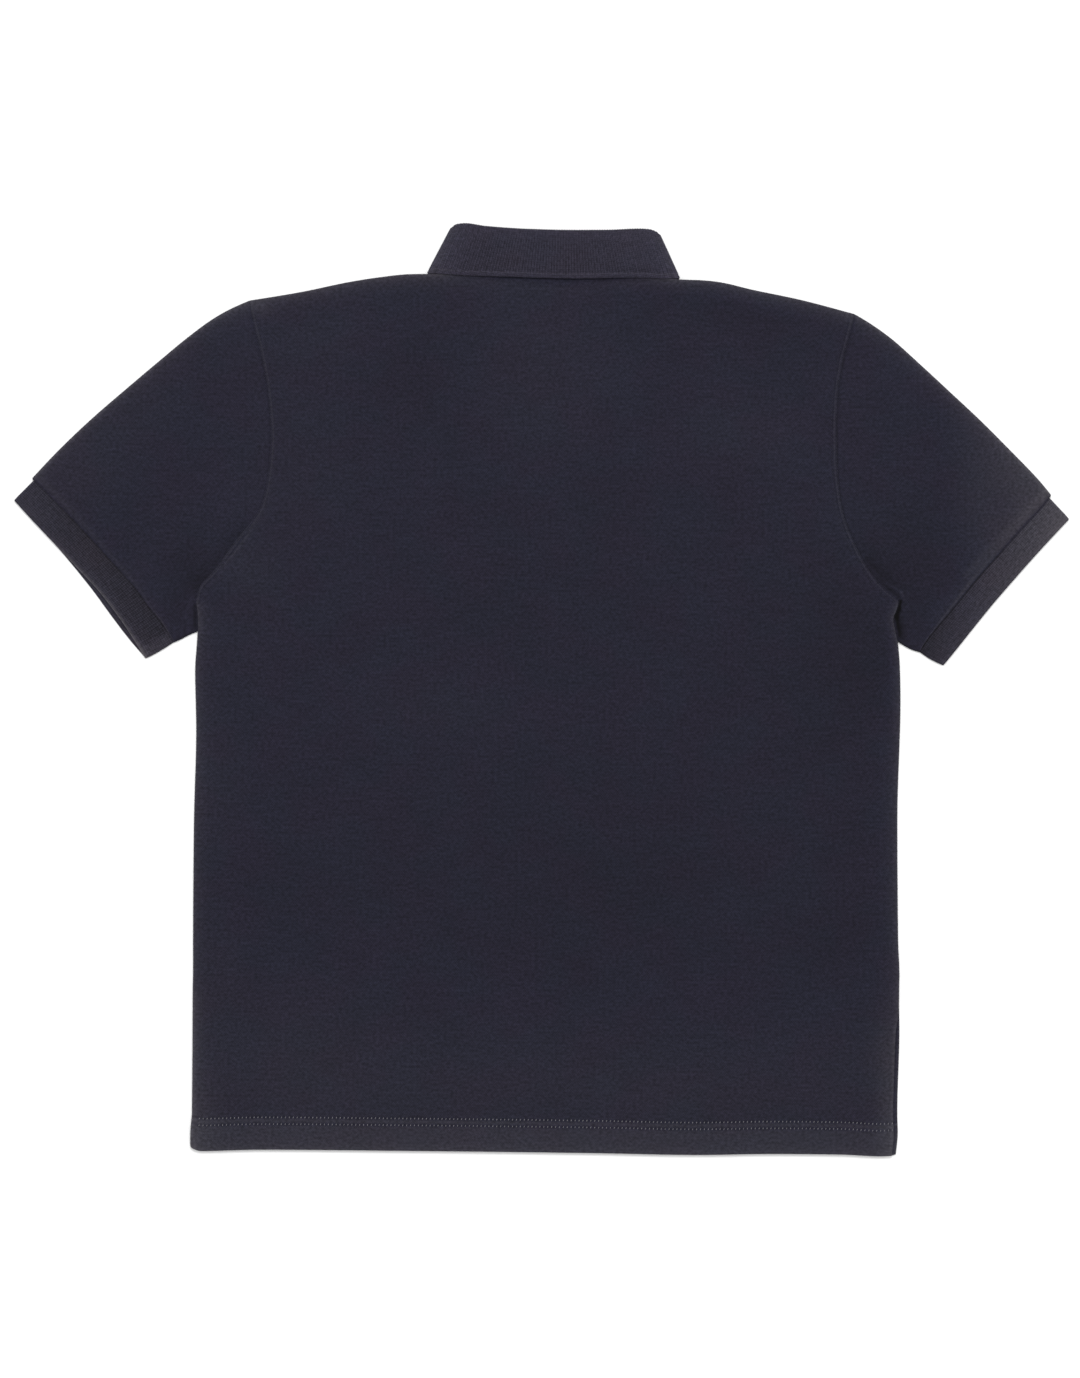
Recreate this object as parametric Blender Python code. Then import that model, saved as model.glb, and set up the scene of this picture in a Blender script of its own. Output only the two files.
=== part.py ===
"""Polo shirt laid flat, face down, as the solids of its cut and sewn pieces.

The front lies on the ground with the collar leaves, the placket and the buttons under it, and the
back lies on the front. +Y points to the collar, +Z up, and the wearer's left side is at -X. Sizes
are in millimetres and each mesh is written in metres. Every piece of cloth is a closed wall: one
function gives the points of its surface at a height h off its middle, and the wall joins the
points for h = +half and h = -half of the cloth.
"""
import math

import bmesh
import bpy
import numpy as np

MM = 0.001
QUARTER = math.pi / 2

# Cloth
PIQUE = 1.2            # wall of the pique body cloth
HEM_WALL = 2.0         # wall where the hem is turned up inside
CUFF_RIB = 1.4         # wall of the cuffs
COLLAR_RIB = 1.6       # wall of the collar
SEAM_GAP = 0.3         # between two sewn pieces
AIR = 0.6              # between the front and the back where they lie on each other
BACK_LEVEL = 1.5 * PIQUE + AIR                # middle of the upper layer
ROLL = (PIQUE + AIR - SEAM_GAP) / 2           # radius of a rolled edge
EDGE_INSET = BACK_LEVEL / 2 + PIQUE / 4       # from a folded edge to where the fold begins

# Neck and placket
NECK_X = 10.0          # middle of the neck
NECK_HALF = 92.0       # half of the neck's width, seam to seam
NECK_DROP = 70.0       # from the side of the neck down to the front neckline
SLOT_HALF = 14.0       # half of the slit that the placket fills
SLOT_END = 118.0       # height of the placket's lower end
TOP_STRIP = {"half": 13.7, "levels": (2.1, 3.5)}       # the placket's outer strip
UNDER_STRIP = {"half": 12.5, "levels": (3.8, 5.0)}     # the strip behind it
BUTTON_RADIUS = 5.75
BUTTON_THICK = 1.8
BUTTON_RECESS = 0.6
BUTTON_HEIGHTS = (248.0, 199.0, 150.0)
# Lines of the button's net, in radii: holes lie in the third cells from the outside
BUTTON_NET = (-1.0, -0.86, -0.7, -0.36, -0.13, 0.13, 0.36, 0.7, 0.86, 1.0)
BUTTON_HOLES = (3, 5)

# Collar: distance of each layer's middle from the level between the neck's front and back
COLLAR_LEVEL = 3.65
STAND_OFF = 0.95
FALL_OFF = 2.85
STAND_CELLS = 3
FALL_CELLS = 4
TURN_CELLS = 4         # cells where the collar turns from the back to the front

# What lies under the front lifts it, and the strip behind the placket lifts the back once more
LIFT = 2.3
LIFT_END = 104.0
LIFT_SKIRT = 30.0
RIDGE = 1.2
RIDGE_HALF = 20.0
RIDGE_TOP = 268.0
RIDGE_SKIRT = 28.0

# Hem and vents
HEM_BAND = 22.0        # depth of the turned-up hem
HEM_STEP = 4.0         # over which the hem's second layer ends
VENT_TOP = -242.0
VENT_INSET = 2.8       # by which the back's right vent edge stands inside the front's
VENT_FADE = 30.0

# Rows of the body panels: heights up to the placket's end, then shares of the way to the top
HEM_ROWS = (0.0, HEM_BAND, HEM_BAND + HEM_STEP)
LOW_ROWS = (-290, VENT_TOP, -190, -130, -70, -15, 18, 38, 47, 57, 65, 71, 80, 98, SLOT_END)
HIGH_ROWS = (0.1, 0.2, 0.31, 0.425, 0.555, 0.685, 0.8, 0.905, 1.0)
# Columns of half a body panel: turns along the neck's ellipse, then shares of the way to the side
NECK_TURNS = np.linspace(math.asin(SLOT_HALF / NECK_HALF), QUARTER, 7)
SIDE_SHARES = (0.16, 0.38, 0.6, 0.8, 1.0)
SIDE_BAND = 8.0        # width of the last column before the edge
ROLL_TURNS = (0.5, 1.0)
UNDERARM = 71.0        # the side edge opens into the armhole above this
ROLLED_BELOW = 47.0    # and is fully rolled below this
SLEEVE_CELLS = 7
CUFF_CELLS = 2
FOLD_CELLS = 4         # cells round a folded edge
FADE = 40.0            # over which the soft rises grow from an edge

NAVY = (0.022, 0.021, 0.034, 1.0)
NAVY_RIB = (0.030, 0.028, 0.042, 1.0)
NAVY_BUTTON = (0.020, 0.020, 0.030, 1.0)


def table(names, *rows):
    """Return the columns of a short table by name."""
    return dict(zip(names.split(), np.array(rows, float).T))


# Outline of the body: side seam, underarm and armhole, from the hem to the shoulder tip
LEFT_EDGE = table(
    "y x",
    (-369, -279.0), (-363, -280.7), (-354, -280.6), (-338, -279.4), (-250, -278.8), (-180, -278.6),
    (-104, -277.9), (-32, -276.1), (16, -277.0), (37, -275.4), (50, -273.5), (62, -274.8),
    (71, -276.0), (80, -274.4), (96, -262.0), (119, -245.2), (134, -232.4), (150, -223.8),
    (172, -218.6), (204, -216.1), (236, -218.3), (266, -223.4), (294, -230.2), (312, -233.6),
)
RIGHT_EDGE = table(
    "y x",
    (-372, 283.4), (-354, 285.0), (-338, 284.7), (-272, 286.4), (-242, 286.0), (-228, 286.6),
    (-200, 285.4), (-104, 284.8), (-8, 287.3), (16, 286.9), (38, 285.2), (47, 283.4),
    (56.5, 281.8), (65, 284.6), (71, 285.4), (76, 280.2), (81, 274.3), (95, 262.3),
    (118, 250.2), (130, 245.3), (152, 239.8), (184, 237.4), (208, 236.9), (232, 237.8),
    (260, 240.4), (276, 244.4), (301, 250.6),
)
HEM_LINE = table(
    "x y",
    (-281, -365.2), (-277, -367.6), (-272, -368.8), (-225, -367.7), (-113, -368.6), (39, -370.4),
    (127, -371.9), (183, -371.1), (239, -371.6), (271, -373.0), (279, -372.0), (286, -368.8),
)
# Shoulders and back neckline, from the left shoulder tip to the right one
TOP_LINE = table(
    "x y",
    (-233.6, 311.2), (-192.6, 318.0), (-152.6, 326.3), (-128.6, 330.0), (-104.6, 332.2),
    (-82, 332.4), (-60, 334.3), (10, 334.0), (80, 332.0), (102, 328.9), (112, 327.8),
    (127, 327.4), (143, 325.9), (167, 320.3), (207, 311.9), (250.6, 300.4),
)
# Half width of the part of the front that the collar leaves and the placket lift
LIFTED = table(
    "y half",
    (100, 24), (190, 24), (212, 48), (225, 56), (255, 76), (291, 98), (316, 110), (340, 113),
)
# Broad soft rises of the upper cloth: middle, half length, half width, turn and height
RISES = table(
    "x y along across turn height",
    (-150, 235, 70, 34, 25, 0.8),
    (135, 215, 80, 36, -18, 0.9),
    (-90, 60, 95, 40, 12, 0.8),
    (120, -20, 90, 38, -8, 0.7),
    (-60, -120, 100, 36, 4, 0.8),
    (150, -170, 70, 34, 14, 0.6),
    (-150, -230, 60, 30, -6, 0.7),
    (40, -270, 90, 28, 2, 0.6),
    (-330, 160, 46, 24, 48, 0.8),
    (335, 150, 48, 24, -46, 0.9),
    (-285, 110, 34, 18, 62, 0.9),
    (297, 92, 30, 16, -38, 1.3),
)

# Sleeves: the silhouettes from the body to the cuff, the cuff's seam and edge from top to bottom,
# how far the cuff stands in at each end of its seam, and how far its upper layer stands back
SLEEVES = {
    "left": {
        "sign": -1,
        "low_row": 47.0,
        "top": ((-234.4, 310.1), (-249.0, 303.7), (-263.4, 295.7), (-285.2, 279.7), (-304.5, 263.7),
                (-332.9, 239.7), (-360.6, 215.7), (-385.8, 191.7), (-407.4, 168.9)),
        "under": ((-274.0, 46.9), (-280.6, 44.2), (-288.6, 40.0), (-293.8, 37.7)),
        "seam": ((-407.4, 168.9), (-385.6, 147.2), (-362.2, 122.6), (-338.6, 97.9), (-324.6, 81.5),
                 (-310.5, 61.5), (-293.8, 37.7)),
        "cuff_top": ((-405.5, 167.3), (-421.8, 151.5)),
        "cuff_under": ((-294.8, 36.9), (-304.6, 31.1), (-315.2, 26.0)),
        "cuff_edge": ((-421.8, 151.5), (-407.4, 135.7), (-389.4, 116.5), (-373.1, 97.3),
                      (-357.8, 78.1), (-343.2, 58.9), (-327.9, 39.7), (-315.8, 25.2)),
        "steps": (2.1, 0.2),
        "lip": 2.8,
    },
    "right": {
        "sign": 1,
        "low_row": 38.0,
        "top": ((250.8, 300.1), (263.4, 292.6), (281.4, 279.7), (299.4, 263.7), (325.4, 239.7),
                (351.1, 215.7), (375.1, 191.7), (398.2, 167.7), (407.8, 156.1)),
        "under": ((285.4, 39.7), (295.4, 32.8), (302.4, 29.9)),
        "seam": ((407.8, 155.5), (400.8, 146.4), (385.0, 129.3), (367.0, 109.0), (348.2, 88.0),
                 (331.0, 67.0), (313.1, 45.9), (305.0, 34.9), (302.4, 29.9)),
        "cuff_top": ((405.8, 154.2), (422.2, 136.5)),
        "cuff_under": ((303.6, 29.5), (311.4, 24.5), (321.6, 20.0)),
        "cuff_edge": ((422.2, 136.5), (412.4, 126.1), (394.7, 106.9), (377.7, 87.7), (361.1, 68.5),
                      (345.5, 49.3), (330.2, 30.1), (321.2, 19.2)),
        "steps": (2.5, 0.2),
        "lip": 0.0,
    },
}

# Collar lines as laid: the fold and the fall's edge across the back, then down each front leaf
BACK_FOLD = ((-69.9, 366.5), (-66.5, 370.0), (-61.5, 371.2), (-44.6, 369.4), (-8.6, 367.0),
             (27.4, 366.2), (51.4, 366.2), (79.4, 367.1), (85.5, 366.6), (90.0, 364.2),
             (92.2, 361.4))
BACK_EDGE = ((-88.4, 332.4), (-79.8, 332.7), (-60.0, 331.0), (-32.6, 329.7), (25.8, 328.1),
             (75.4, 329.6), (95.4, 329.3), (107.7, 328.6))
LEAVES = {
    "left": {
        "fold": ((-69.9, 366.5), (-34.0, 316.0), (7.8, 272.0)),
        "edge": ((-88.4, 332.4), (-85.5, 316.0), (-73.0, 291.0), (-52.0, 255.0), (-31.0, 225.0)),
        "out": (-0.880, 0.475),
        "seam_end": -1.0,
    },
    "right": {
        "fold": ((92.2, 361.4), (54.5, 314.0), (12.2, 272.0)),
        "edge": ((107.7, 328.6), (105.5, 313.0), (93.0, 289.0), (72.0, 254.0), (51.0, 224.0)),
        "out": (0.902, 0.431),
        "seam_end": 1.0,
    },
}


# ---------------------------------------------------------------- curves and meshes

def smooth(at, x, y):
    """Read a smooth curve through (x, y) that never swings past its points; x increases."""
    at = np.asarray(at, float)
    step = np.diff(x)
    slope = np.diff(y) / step
    lean = np.zeros_like(y)
    before, after = slope[:-1], slope[1:]
    same_way = before * after > 0
    lean[1:-1][same_way] = (2 * before * after)[same_way] / (before + after)[same_way]
    lean[0], lean[-1] = slope[0], slope[-1]
    cell = np.clip(np.searchsorted(x, at) - 1, 0, len(step) - 1)
    t = np.clip((at - x[cell]) / step[cell], 0, 1)
    sway = step[cell] * t * (1 - t) * (lean[cell] * (1 - t) - lean[cell + 1] * t)
    straight = slope[cell] * step[cell] * t * t * (3 - 2 * t)
    return y[cell] + straight + sway


def lengths(points):
    """Return the length of the line through the points up to each of them."""
    steps = np.linalg.norm(np.diff(points, axis=0), axis=1)
    return np.concatenate([[0.0], np.cumsum(steps)])


def shares(points):
    """Return each point's share of the length of the line through the points."""
    reach = lengths(points)
    return reach / reach[-1]


def run(points, at, cut_start=0.0, cut_end=0.0):
    """Return plan points at shares of a smooth curve that is shortened at its ends."""
    points = np.array(points, float)
    reach = lengths(points)
    way = cut_start + (reach[-1] - cut_start - cut_end) * np.asarray(at, float)
    return np.stack([smooth(way, reach, points[:, k]) for k in (0, 1)], axis=-1)


def unit(vectors):
    """Scale vectors to length one."""
    return vectors / np.linalg.norm(vectors, axis=-1, keepdims=True)


def sideways(points, amount):
    """Move a plan curve to its left, or to its right by a negative amount."""
    way = unit(np.gradient(points, axis=0))
    return points + amount * np.stack([-way[:, 1], way[:, 0]], axis=-1)


def soft_step(t):
    """Go smoothly from 0 at t = 0 to 1 at t = 1."""
    t = np.clip(t, 0, 1)
    return t * t * (3 - 2 * t)


def material(name, color, roughness):
    """Make a plain Principled material."""
    finish = bpy.data.materials.new(name)
    finish.use_nodes = True
    shader = finish.node_tree.nodes["Principled BSDF"]
    shader.inputs["Base Color"].default_value = color
    shader.inputs["Roughness"].default_value = roughness
    shader.inputs["Metallic"].default_value = 0.0
    return finish


def wall(name, outer, inner, finish, keep=None, ring=False):
    """Make one closed wall between two grids of points, with an edge round the kept cells."""
    rows, columns = outer.shape[:2]
    cells = columns if ring else columns - 1
    if keep is None:
        keep = np.ones((rows - 1, cells), bool)
    other_side = rows * columns
    faces, border = [], set()
    for j, i in np.argwhere(keep).tolist():
        k = (i + 1) % columns
        corners = (j * columns + i, j * columns + k, (j + 1) * columns + k, (j + 1) * columns + i)
        faces.append(corners)
        faces.append(tuple(c + other_side for c in reversed(corners)))
        for a, b in zip(corners, corners[1:] + corners[:1]):
            if (b, a) in border:
                border.remove((b, a))
            else:
                border.add((a, b))
    faces += [(b, a, a + other_side, b + other_side) for a, b in sorted(border)]
    points = np.concatenate([outer.reshape(-1, 3), inner.reshape(-1, 3)]) * MM
    mesh = bpy.data.meshes.new(name)
    mesh.from_pydata(points.tolist(), [], faces)
    shape = bmesh.new()
    shape.from_mesh(mesh)
    bmesh.ops.delete(shape, geom=[v for v in shape.verts if not v.link_faces], context="VERTS")
    bmesh.ops.recalc_face_normals(shape, faces=shape.faces)
    shape.to_mesh(mesh)
    shape.free()
    mesh.shade_smooth()
    mesh.set_sharp_from_angle(angle=math.radians(40))
    mesh.materials.append(finish)
    piece = bpy.data.objects.new(name, mesh)
    bpy.context.scene.collection.objects.link(piece)


# ---------------------------------------------------------------- levels of the cloth

def lift(x, y):
    """Give how far the collar leaves and the placket lift the front at a place."""
    beside = np.maximum(np.abs(x - NECK_X) - smooth(y, LIFTED["y"], LIFTED["half"]), 0)
    below = np.maximum(LIFT_END - y, 0)
    return LIFT * (1 - soft_step(np.hypot(beside, below) / LIFT_SKIRT))


def ridge(x, y):
    """Give how much further the strip behind the placket lifts the back."""
    beside = np.maximum(np.abs(x - NECK_X) - RIDGE_HALF, 0)
    past = np.maximum(np.maximum(LIFT_END - y, y - RIDGE_TOP), 0)
    return RIDGE * (1 - soft_step(np.hypot(beside, past) / RIDGE_SKIRT))


def rises(x, y):
    """Give the height of the broad soft rises of the upper cloth at a place."""
    total = np.zeros_like(x)
    for mid_x, mid_y, along, across, turn, height in zip(*RISES.values()):
        c, s = math.cos(math.radians(turn)), math.sin(math.radians(turn))
        u = ((x - mid_x) * c + (y - mid_y) * s) / along
        v = ((y - mid_y) * c - (x - mid_x) * s) / across
        total += height * np.exp(-u * u - v * v)
    return total


# ---------------------------------------------------------------- body panels

def bend(angle, h, turn):
    """Give the way along and the height of a roll at a share of its turn and h off its middle.

    The roll's middle keeps its length, so a smaller angle bends it on a larger radius.
    """
    angle = np.maximum(angle, 0.001)
    radius = ROLL * QUARTER / angle
    return (radius + h) * np.sin(angle * turn), (radius + h) * np.cos(angle * turn) - radius


def side_angle(y):
    """Give the angle of the rolled side edge: none at the vent and the armhole."""
    above_vent = soft_step((y - VENT_TOP) / VENT_FADE)
    below_arm = soft_step((UNDERARM - y) / (UNDERARM - ROLLED_BELOW))
    return QUARTER * above_vent * below_arm


def front_neckline(x, gap=0.0):
    """Give the height of the front neckline: half an ellipse hung between the shoulders."""
    side = smooth([NECK_X - NECK_HALF, NECK_X + NECK_HALF], TOP_LINE["x"], TOP_LINE["y"])
    share = np.clip((x - NECK_X) / (NECK_HALF - gap), -1, 1)
    middle = side.mean() + (side[1] - side[0]) / 2 * share
    return middle - (NECK_DROP - gap) * np.sqrt(1 - share * share)


def panel_top(x, is_front):
    """Give the height of a panel's upper edge."""
    line = smooth(x, TOP_LINE["x"], TOP_LINE["y"])
    if is_front:
        line = np.where(np.abs(x - NECK_X) < NECK_HALF, front_neckline(x), line)
    return line


def row_heights(hem_x, top_x, is_front, top_reach):
    """Give the height of every row in a column that starts at hem_x and ends at top_x."""
    hem = smooth(hem_x, HEM_LINE["x"], HEM_LINE["y"])
    top = panel_top(top_x, is_front) - top_reach
    rows = [hem + up for up in HEM_ROWS]
    rows += [np.full_like(hem, up) for up in LOW_ROWS]
    rows += [SLOT_END + (top - SLOT_END) * share for share in HIGH_ROWS]
    return np.array(rows)


def side_edge(side):
    """Give the outer edge of a panel's rows as plan points, from the hem up to the shoulder."""
    outline = LEFT_EDGE if side == "left" else RIGHT_EDGE
    end = 0 if side == "left" else -1
    y = row_heights(outline["x"][0], TOP_LINE["x"][end], False, ROLL + PIQUE / 2)
    return np.stack([smooth(y, outline["y"], outline["x"]), y], axis=-1)


def half_row(edge, angle, half_wall, h):
    """Give distances from the neck's middle, and heights off the cloth's middle, in half a row."""
    start = edge - bend(angle, half_wall, 1.0)[0]
    flat = np.concatenate([
        NECK_HALF * np.sin(NECK_TURNS),
        NECK_HALF + (start - SIDE_BAND - NECK_HALF) * np.array(SIDE_SHARES),
        [start],
    ])
    way, height = bend(angle, h, np.array(ROLL_TURNS))
    return np.concatenate([flat, start + way]), np.concatenate([np.full(len(flat), h), height])


def body_sheet(is_front, face):
    """Give a body panel's grid of points on one face of its wall: +1 outside, -1 inside."""
    edges = {"left": side_edge("left"), "right": side_edge("right")}
    walls = np.full(len(edges["left"]), PIQUE)
    walls[:2] = HEM_WALL
    x_rows, off_rows = [], []
    for j, thick in enumerate(walls):
        halves = []
        for side in ("left", "right"):
            edge_x, edge_y = edges[side][j]
            if side == "right" and not is_front:
                edge_x -= VENT_INSET * soft_step((VENT_TOP - edge_y) / VENT_FADE)
            halves.append(half_row(abs(edge_x - NECK_X), side_angle(edge_y), thick / 2,
                                   face * thick / 2))
        (left_x, left_off), (right_x, right_off) = halves
        x_rows.append(NECK_X + np.concatenate([-left_x[::-1], right_x]))
        off_rows.append(np.concatenate([left_off[::-1], right_off]))
    x, off = np.array(x_rows), np.array(off_rows)
    top_x = np.clip(x[-1], TOP_LINE["x"][0], TOP_LINE["x"][-1])
    top_angle = np.where(np.abs(top_x - NECK_X) < NECK_HALF + 0.1, 0.0, QUARTER)
    y = row_heights(x[0], top_x, is_front, bend(top_angle, PIQUE / 2, 1.0)[0])
    # The shoulder's roll carries on from the last row, at the level of that row
    level_x, level_y = x, y
    for turn in ROLL_TURNS:
        way, height = bend(top_angle, face * PIQUE / 2, turn)
        x = np.vstack([x, x[-1]])
        y = np.vstack([y, level_y[-1] + way])
        off = np.vstack([off, height])
        walls = np.append(walls, PIQUE)
    roll = ((0, len(ROLL_TURNS)), (0, 0))
    level_x, level_y = np.pad(level_x, roll, "edge"), np.pad(level_y, roll, "edge")
    up = lift(level_x, level_y)
    walls = walls[:, None]
    if is_front:
        z = walls / 2 + up - off
    else:
        from_edge = np.minimum(x - x[:, :1], x[:, -1:] - x)
        up = up + ridge(level_x, level_y) + rises(level_x, level_y) * soft_step(from_edge / FADE)
        z = 1.5 * walls + AIR + up + off
    return np.stack([x, y, z], axis=-1)


def back(finish):
    """Back: one panel from the hem to the shoulders, its sides and shoulders rolled down."""
    wall("back", body_sheet(False, 1), body_sheet(False, -1), finish)


def front(finish):
    """Front: the back's cut with a deep neckline and the slit that the placket fills."""
    outer, inner = body_sheet(True, 1), body_sheet(True, -1)
    keep = np.ones((outer.shape[0] - 1, outer.shape[1] - 1), bool)
    keep[len(HEM_ROWS) + len(LOW_ROWS) - 1:, outer.shape[1] // 2 - 1] = False
    wall("front", outer, inner, finish, keep=keep)


# ---------------------------------------------------------------- sleeves and cuffs

def patch(start, end, top, under, cells, at):
    """Fill a plan patch between four curves; start and end run from the top to the underside."""
    a = np.linspace(0, 1, cells + 1)[:, None, None]
    b = at[None, :, None]
    top, under = run(top, a[:, 0, 0])[:, None], run(under, a[:, 0, 0])[:, None]
    top = top + (1 - a) * (start[0] - top[0]) + a * (end[0] - top[-1])
    under = under + (1 - a) * (start[-1] - under[0]) + a * (end[-1] - under[-1])
    corners = (1 - b) * ((1 - a) * start[0] + a * end[0]) + b * ((1 - a) * start[-1] + a * end[-1])
    return (1 - a) * start + a * end + (1 - b) * top + b * under - corners


def flat_tube(upper, lower, thick, rise, face):
    """Give rings of points round a flattened tube: upper layer, one fold, lower layer, the other."""
    h = face * thick / 2
    high, low = BACK_LEVEL + (PIQUE - thick) / 2, thick / 2
    middle, radius = (high + low) / 2, (high - low) / 2 + h
    rows, columns = upper.shape[:2]
    over = np.dstack([upper, np.full((rows, columns), high + h) + rise])
    beneath = np.dstack([lower, np.full((rows, columns), low - h)])[:, ::-1]
    turns = np.linspace(0, math.pi, FOLD_CELLS + 1)[1:-1]
    folds = []
    for edge, inside, order in ((-1, -2, turns), (0, 1, turns[::-1])):
        out = unit(upper[:, edge] - upper[:, inside])
        for turn in order:
            share = turn / math.pi
            plan = upper[:, edge] * (1 - share) + lower[:, edge] * share
            plan = plan + radius * math.sin(turn) * out
            folds.append(np.column_stack([plan, np.full(rows, middle + radius * math.cos(turn))]))
    folds = np.stack(folds, axis=1)
    half = FOLD_CELLS - 1
    return np.concatenate([over, folds[:, :half], beneath, folds[:, half:]], axis=1)


def tube_wall(name, upper, lower, thick, rise, finish):
    """Make a flattened tube, open at both ends."""
    outer = flat_tube(upper, lower, thick, rise, 1)
    inner = flat_tube(upper, lower, thick, rise, -1)
    wall(name, outer, inner, finish, ring=True)


def sleeve_and_cuff(side, cloth, rib):
    """Sleeve: a flattened tube from the armhole to the cuff. Cuff: a rib tube sewn to its end."""
    cut = SLEEVES[side]
    out = cut["sign"]
    edge = side_edge(side)[::-1]
    start = sideways(edge[edge[:, 1] > cut["low_row"] - 1], out * SEAM_GAP)
    at = shares(start)
    seam = run(cut["seam"], at, EDGE_INSET, EDGE_INSET)
    plan = patch(start, seam, sideways(np.array(cut["top"]), -out * EDGE_INSET),
                 sideways(np.array(cut["under"]), out * EDGE_INSET), SLEEVE_CELLS, at)
    along = np.linspace(0, 1, SLEEVE_CELLS + 1)[:, None]
    fade = np.sin(math.pi * at)[None] * soft_step(along / 0.25) * soft_step((1 - along) / 0.25)
    tube_wall(f"sleeve_{side}", plan, plan, PIQUE, rises(plan[..., 0], plan[..., 1]) * fade, cloth)

    step_top, step_under = cut["steps"]
    begin = run(cut["seam"], at, EDGE_INSET + step_top, EDGE_INSET + step_under)
    begin = sideways(begin, out * SEAM_GAP)
    low_end = run(cut["cuff_edge"], at, EDGE_INSET, EDGE_INSET)
    lip = cut["lip"] * np.sin(math.pi * np.clip((at - 0.3) / 0.7, 0, 1))[:, None]
    high_end = low_end + lip * unit(begin - low_end)
    top = sideways(np.array(cut["cuff_top"]), -out * EDGE_INSET)
    under = sideways(np.array(cut["cuff_under"]), out * EDGE_INSET)
    upper = patch(begin, high_end, top, under, CUFF_CELLS, at)
    lower = patch(begin, low_end, top, under, CUFF_CELLS, at)
    tube_wall(f"cuff_{side}", upper, lower, CUFF_RIB, 0.0, rib)


# ---------------------------------------------------------------- collar

def collar_stations():
    """Give each station's neck, fold and edge points and the turn of its face from +Z.

    Stations run from the left leaf's front end, round the back, to the right leaf's front end.
    """
    offsets = NECK_HALF * np.sin(NECK_TURNS)
    neck, fold, edge, turn, out = [], [], [], [], []

    def add(neck_points, fold_points, edge_points, turns, way):
        neck.append(neck_points)
        fold.append(fold_points)
        edge.append(edge_points)
        turn.append(turns)
        out.append(np.tile(way, (len(turns), 1)))

    for side, sign in (("left", -1), ("right", 1)):
        leaf = LEAVES[side]
        reach = np.append(offsets[::-1], abs(leaf["seam_end"]))
        reach[0] -= SEAM_GAP
        x = NECK_X + sign * reach
        seam = np.stack([x, front_neckline(x, SEAM_GAP) + SEAM_GAP / 2], axis=-1)
        seam[0, 1] += SEAM_GAP / 2
        at = shares(seam)
        front_part = [seam, run(leaf["fold"], at), run(leaf["edge"], at)]
        turns = np.linspace(math.pi, 0, TURN_CELLS + 1)
        side_part = [np.tile(part[0], (len(turns), 1)) for part in front_part]
        front_part = [part[1:] for part in front_part]
        if side == "left":
            add(*(part[::-1] for part in front_part), np.full(len(seam) - 1, math.pi), leaf["out"])
            add(*side_part, turns, leaf["out"])
            x = NECK_X + np.concatenate([-offsets[-2::-1], offsets[:-1]])
            at = (x - NECK_X + NECK_HALF) / (2 * NECK_HALF)
            seam = np.stack([x, panel_top(x, False) + SEAM_GAP], axis=-1)
            add(seam, run(BACK_FOLD, at), run(BACK_EDGE, at), np.zeros(len(x)), leaf["out"])
        else:
            add(*side_part, turns[::-1], leaf["out"])
            add(*front_part, np.full(len(seam) - 1, math.pi), leaf["out"])
    return [np.concatenate(part) for part in (neck, fold, edge, turn, out)]


def collar_sheet(face):
    """Give the collar's grid of points on one face: stand, fold and fall at every station."""
    neck, fold, edge, turn, out = collar_stations()
    h = face * COLLAR_RIB / 2
    over = unit(unit(fold - neck) + unit(fold - edge))
    radius = (FALL_OFF - STAND_OFF) / 2
    plans, offs = [], []
    for share in np.linspace(0, 1, STAND_CELLS + 1):
        plans.append(neck + (fold - neck) * share)
        offs.append(STAND_OFF - h)
    for angle in np.linspace(0, math.pi, FOLD_CELLS + 1)[1:-1]:
        plans.append(fold + over * (radius + h) * math.sin(angle))
        offs.append(STAND_OFF + radius - (radius + h) * math.cos(angle))
    for share in np.linspace(0, 1, FALL_CELLS + 1):
        plans.append(fold + (edge - fold) * share)
        offs.append(FALL_OFF + h)
    plan = np.stack(plans)
    off = np.array(offs)[:, None]
    x = plan[..., 0] + off * np.sin(turn) * out[:, 0]
    y = plan[..., 1] + off * np.sin(turn) * out[:, 1]
    return np.stack([x, y, COLLAR_LEVEL + off * np.cos(turn)], axis=-1)


def collar(finish):
    """Collar: one flat-knit strip that stands up from the neck seam and folds over."""
    wall("collar", collar_sheet(1), collar_sheet(-1), finish)


# ---------------------------------------------------------------- placket and buttons

def strip(name, size, finish):
    """Placket strip: flat cloth from the slit's lower end up to the neckline."""
    x = NECK_X + size["half"] * np.array([-1.0, 0.0, 1.0])
    top = front_neckline(x) - SEAM_GAP
    start = SLOT_END + SEAM_GAP
    y = np.array([start + (top - start) * share for share in (0.0, *HIGH_ROWS)])
    faces = [np.dstack([np.tile(x, (len(y), 1)), y, np.full_like(y, z)]) for z in size["levels"]]
    wall(name, faces[1], faces[0], finish)


def button(name, y, finish):
    """Button: a round disc with a raised rim and four holes, its face down."""
    line = np.array(BUTTON_NET)
    u, v = np.meshgrid(line, line)
    plan = np.dstack([NECK_X + BUTTON_RADIUS * u * np.sqrt(1 - v * v / 2),
                      y + BUTTON_RADIUS * v * np.sqrt(1 - u * u / 2)])
    from_middle = np.maximum(np.abs(u), np.abs(v))
    rim = soft_step((from_middle - BUTTON_NET[-3]) / (BUTTON_NET[-2] - BUTTON_NET[-3]))
    keep = np.ones((len(line) - 1, len(line) - 1), bool)
    keep[np.ix_(BUTTON_HOLES, BUTTON_HOLES)] = False
    upper = np.dstack([plan, np.full_like(u, BUTTON_THICK)])
    lower = np.dstack([plan, BUTTON_RECESS * (1 - rim)])
    wall(name, upper, lower, finish, keep=keep)


# ---------------------------------------------------------------- the shirt

for old in list(bpy.data.objects):
    bpy.data.objects.remove(old, do_unlink=True)

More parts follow.
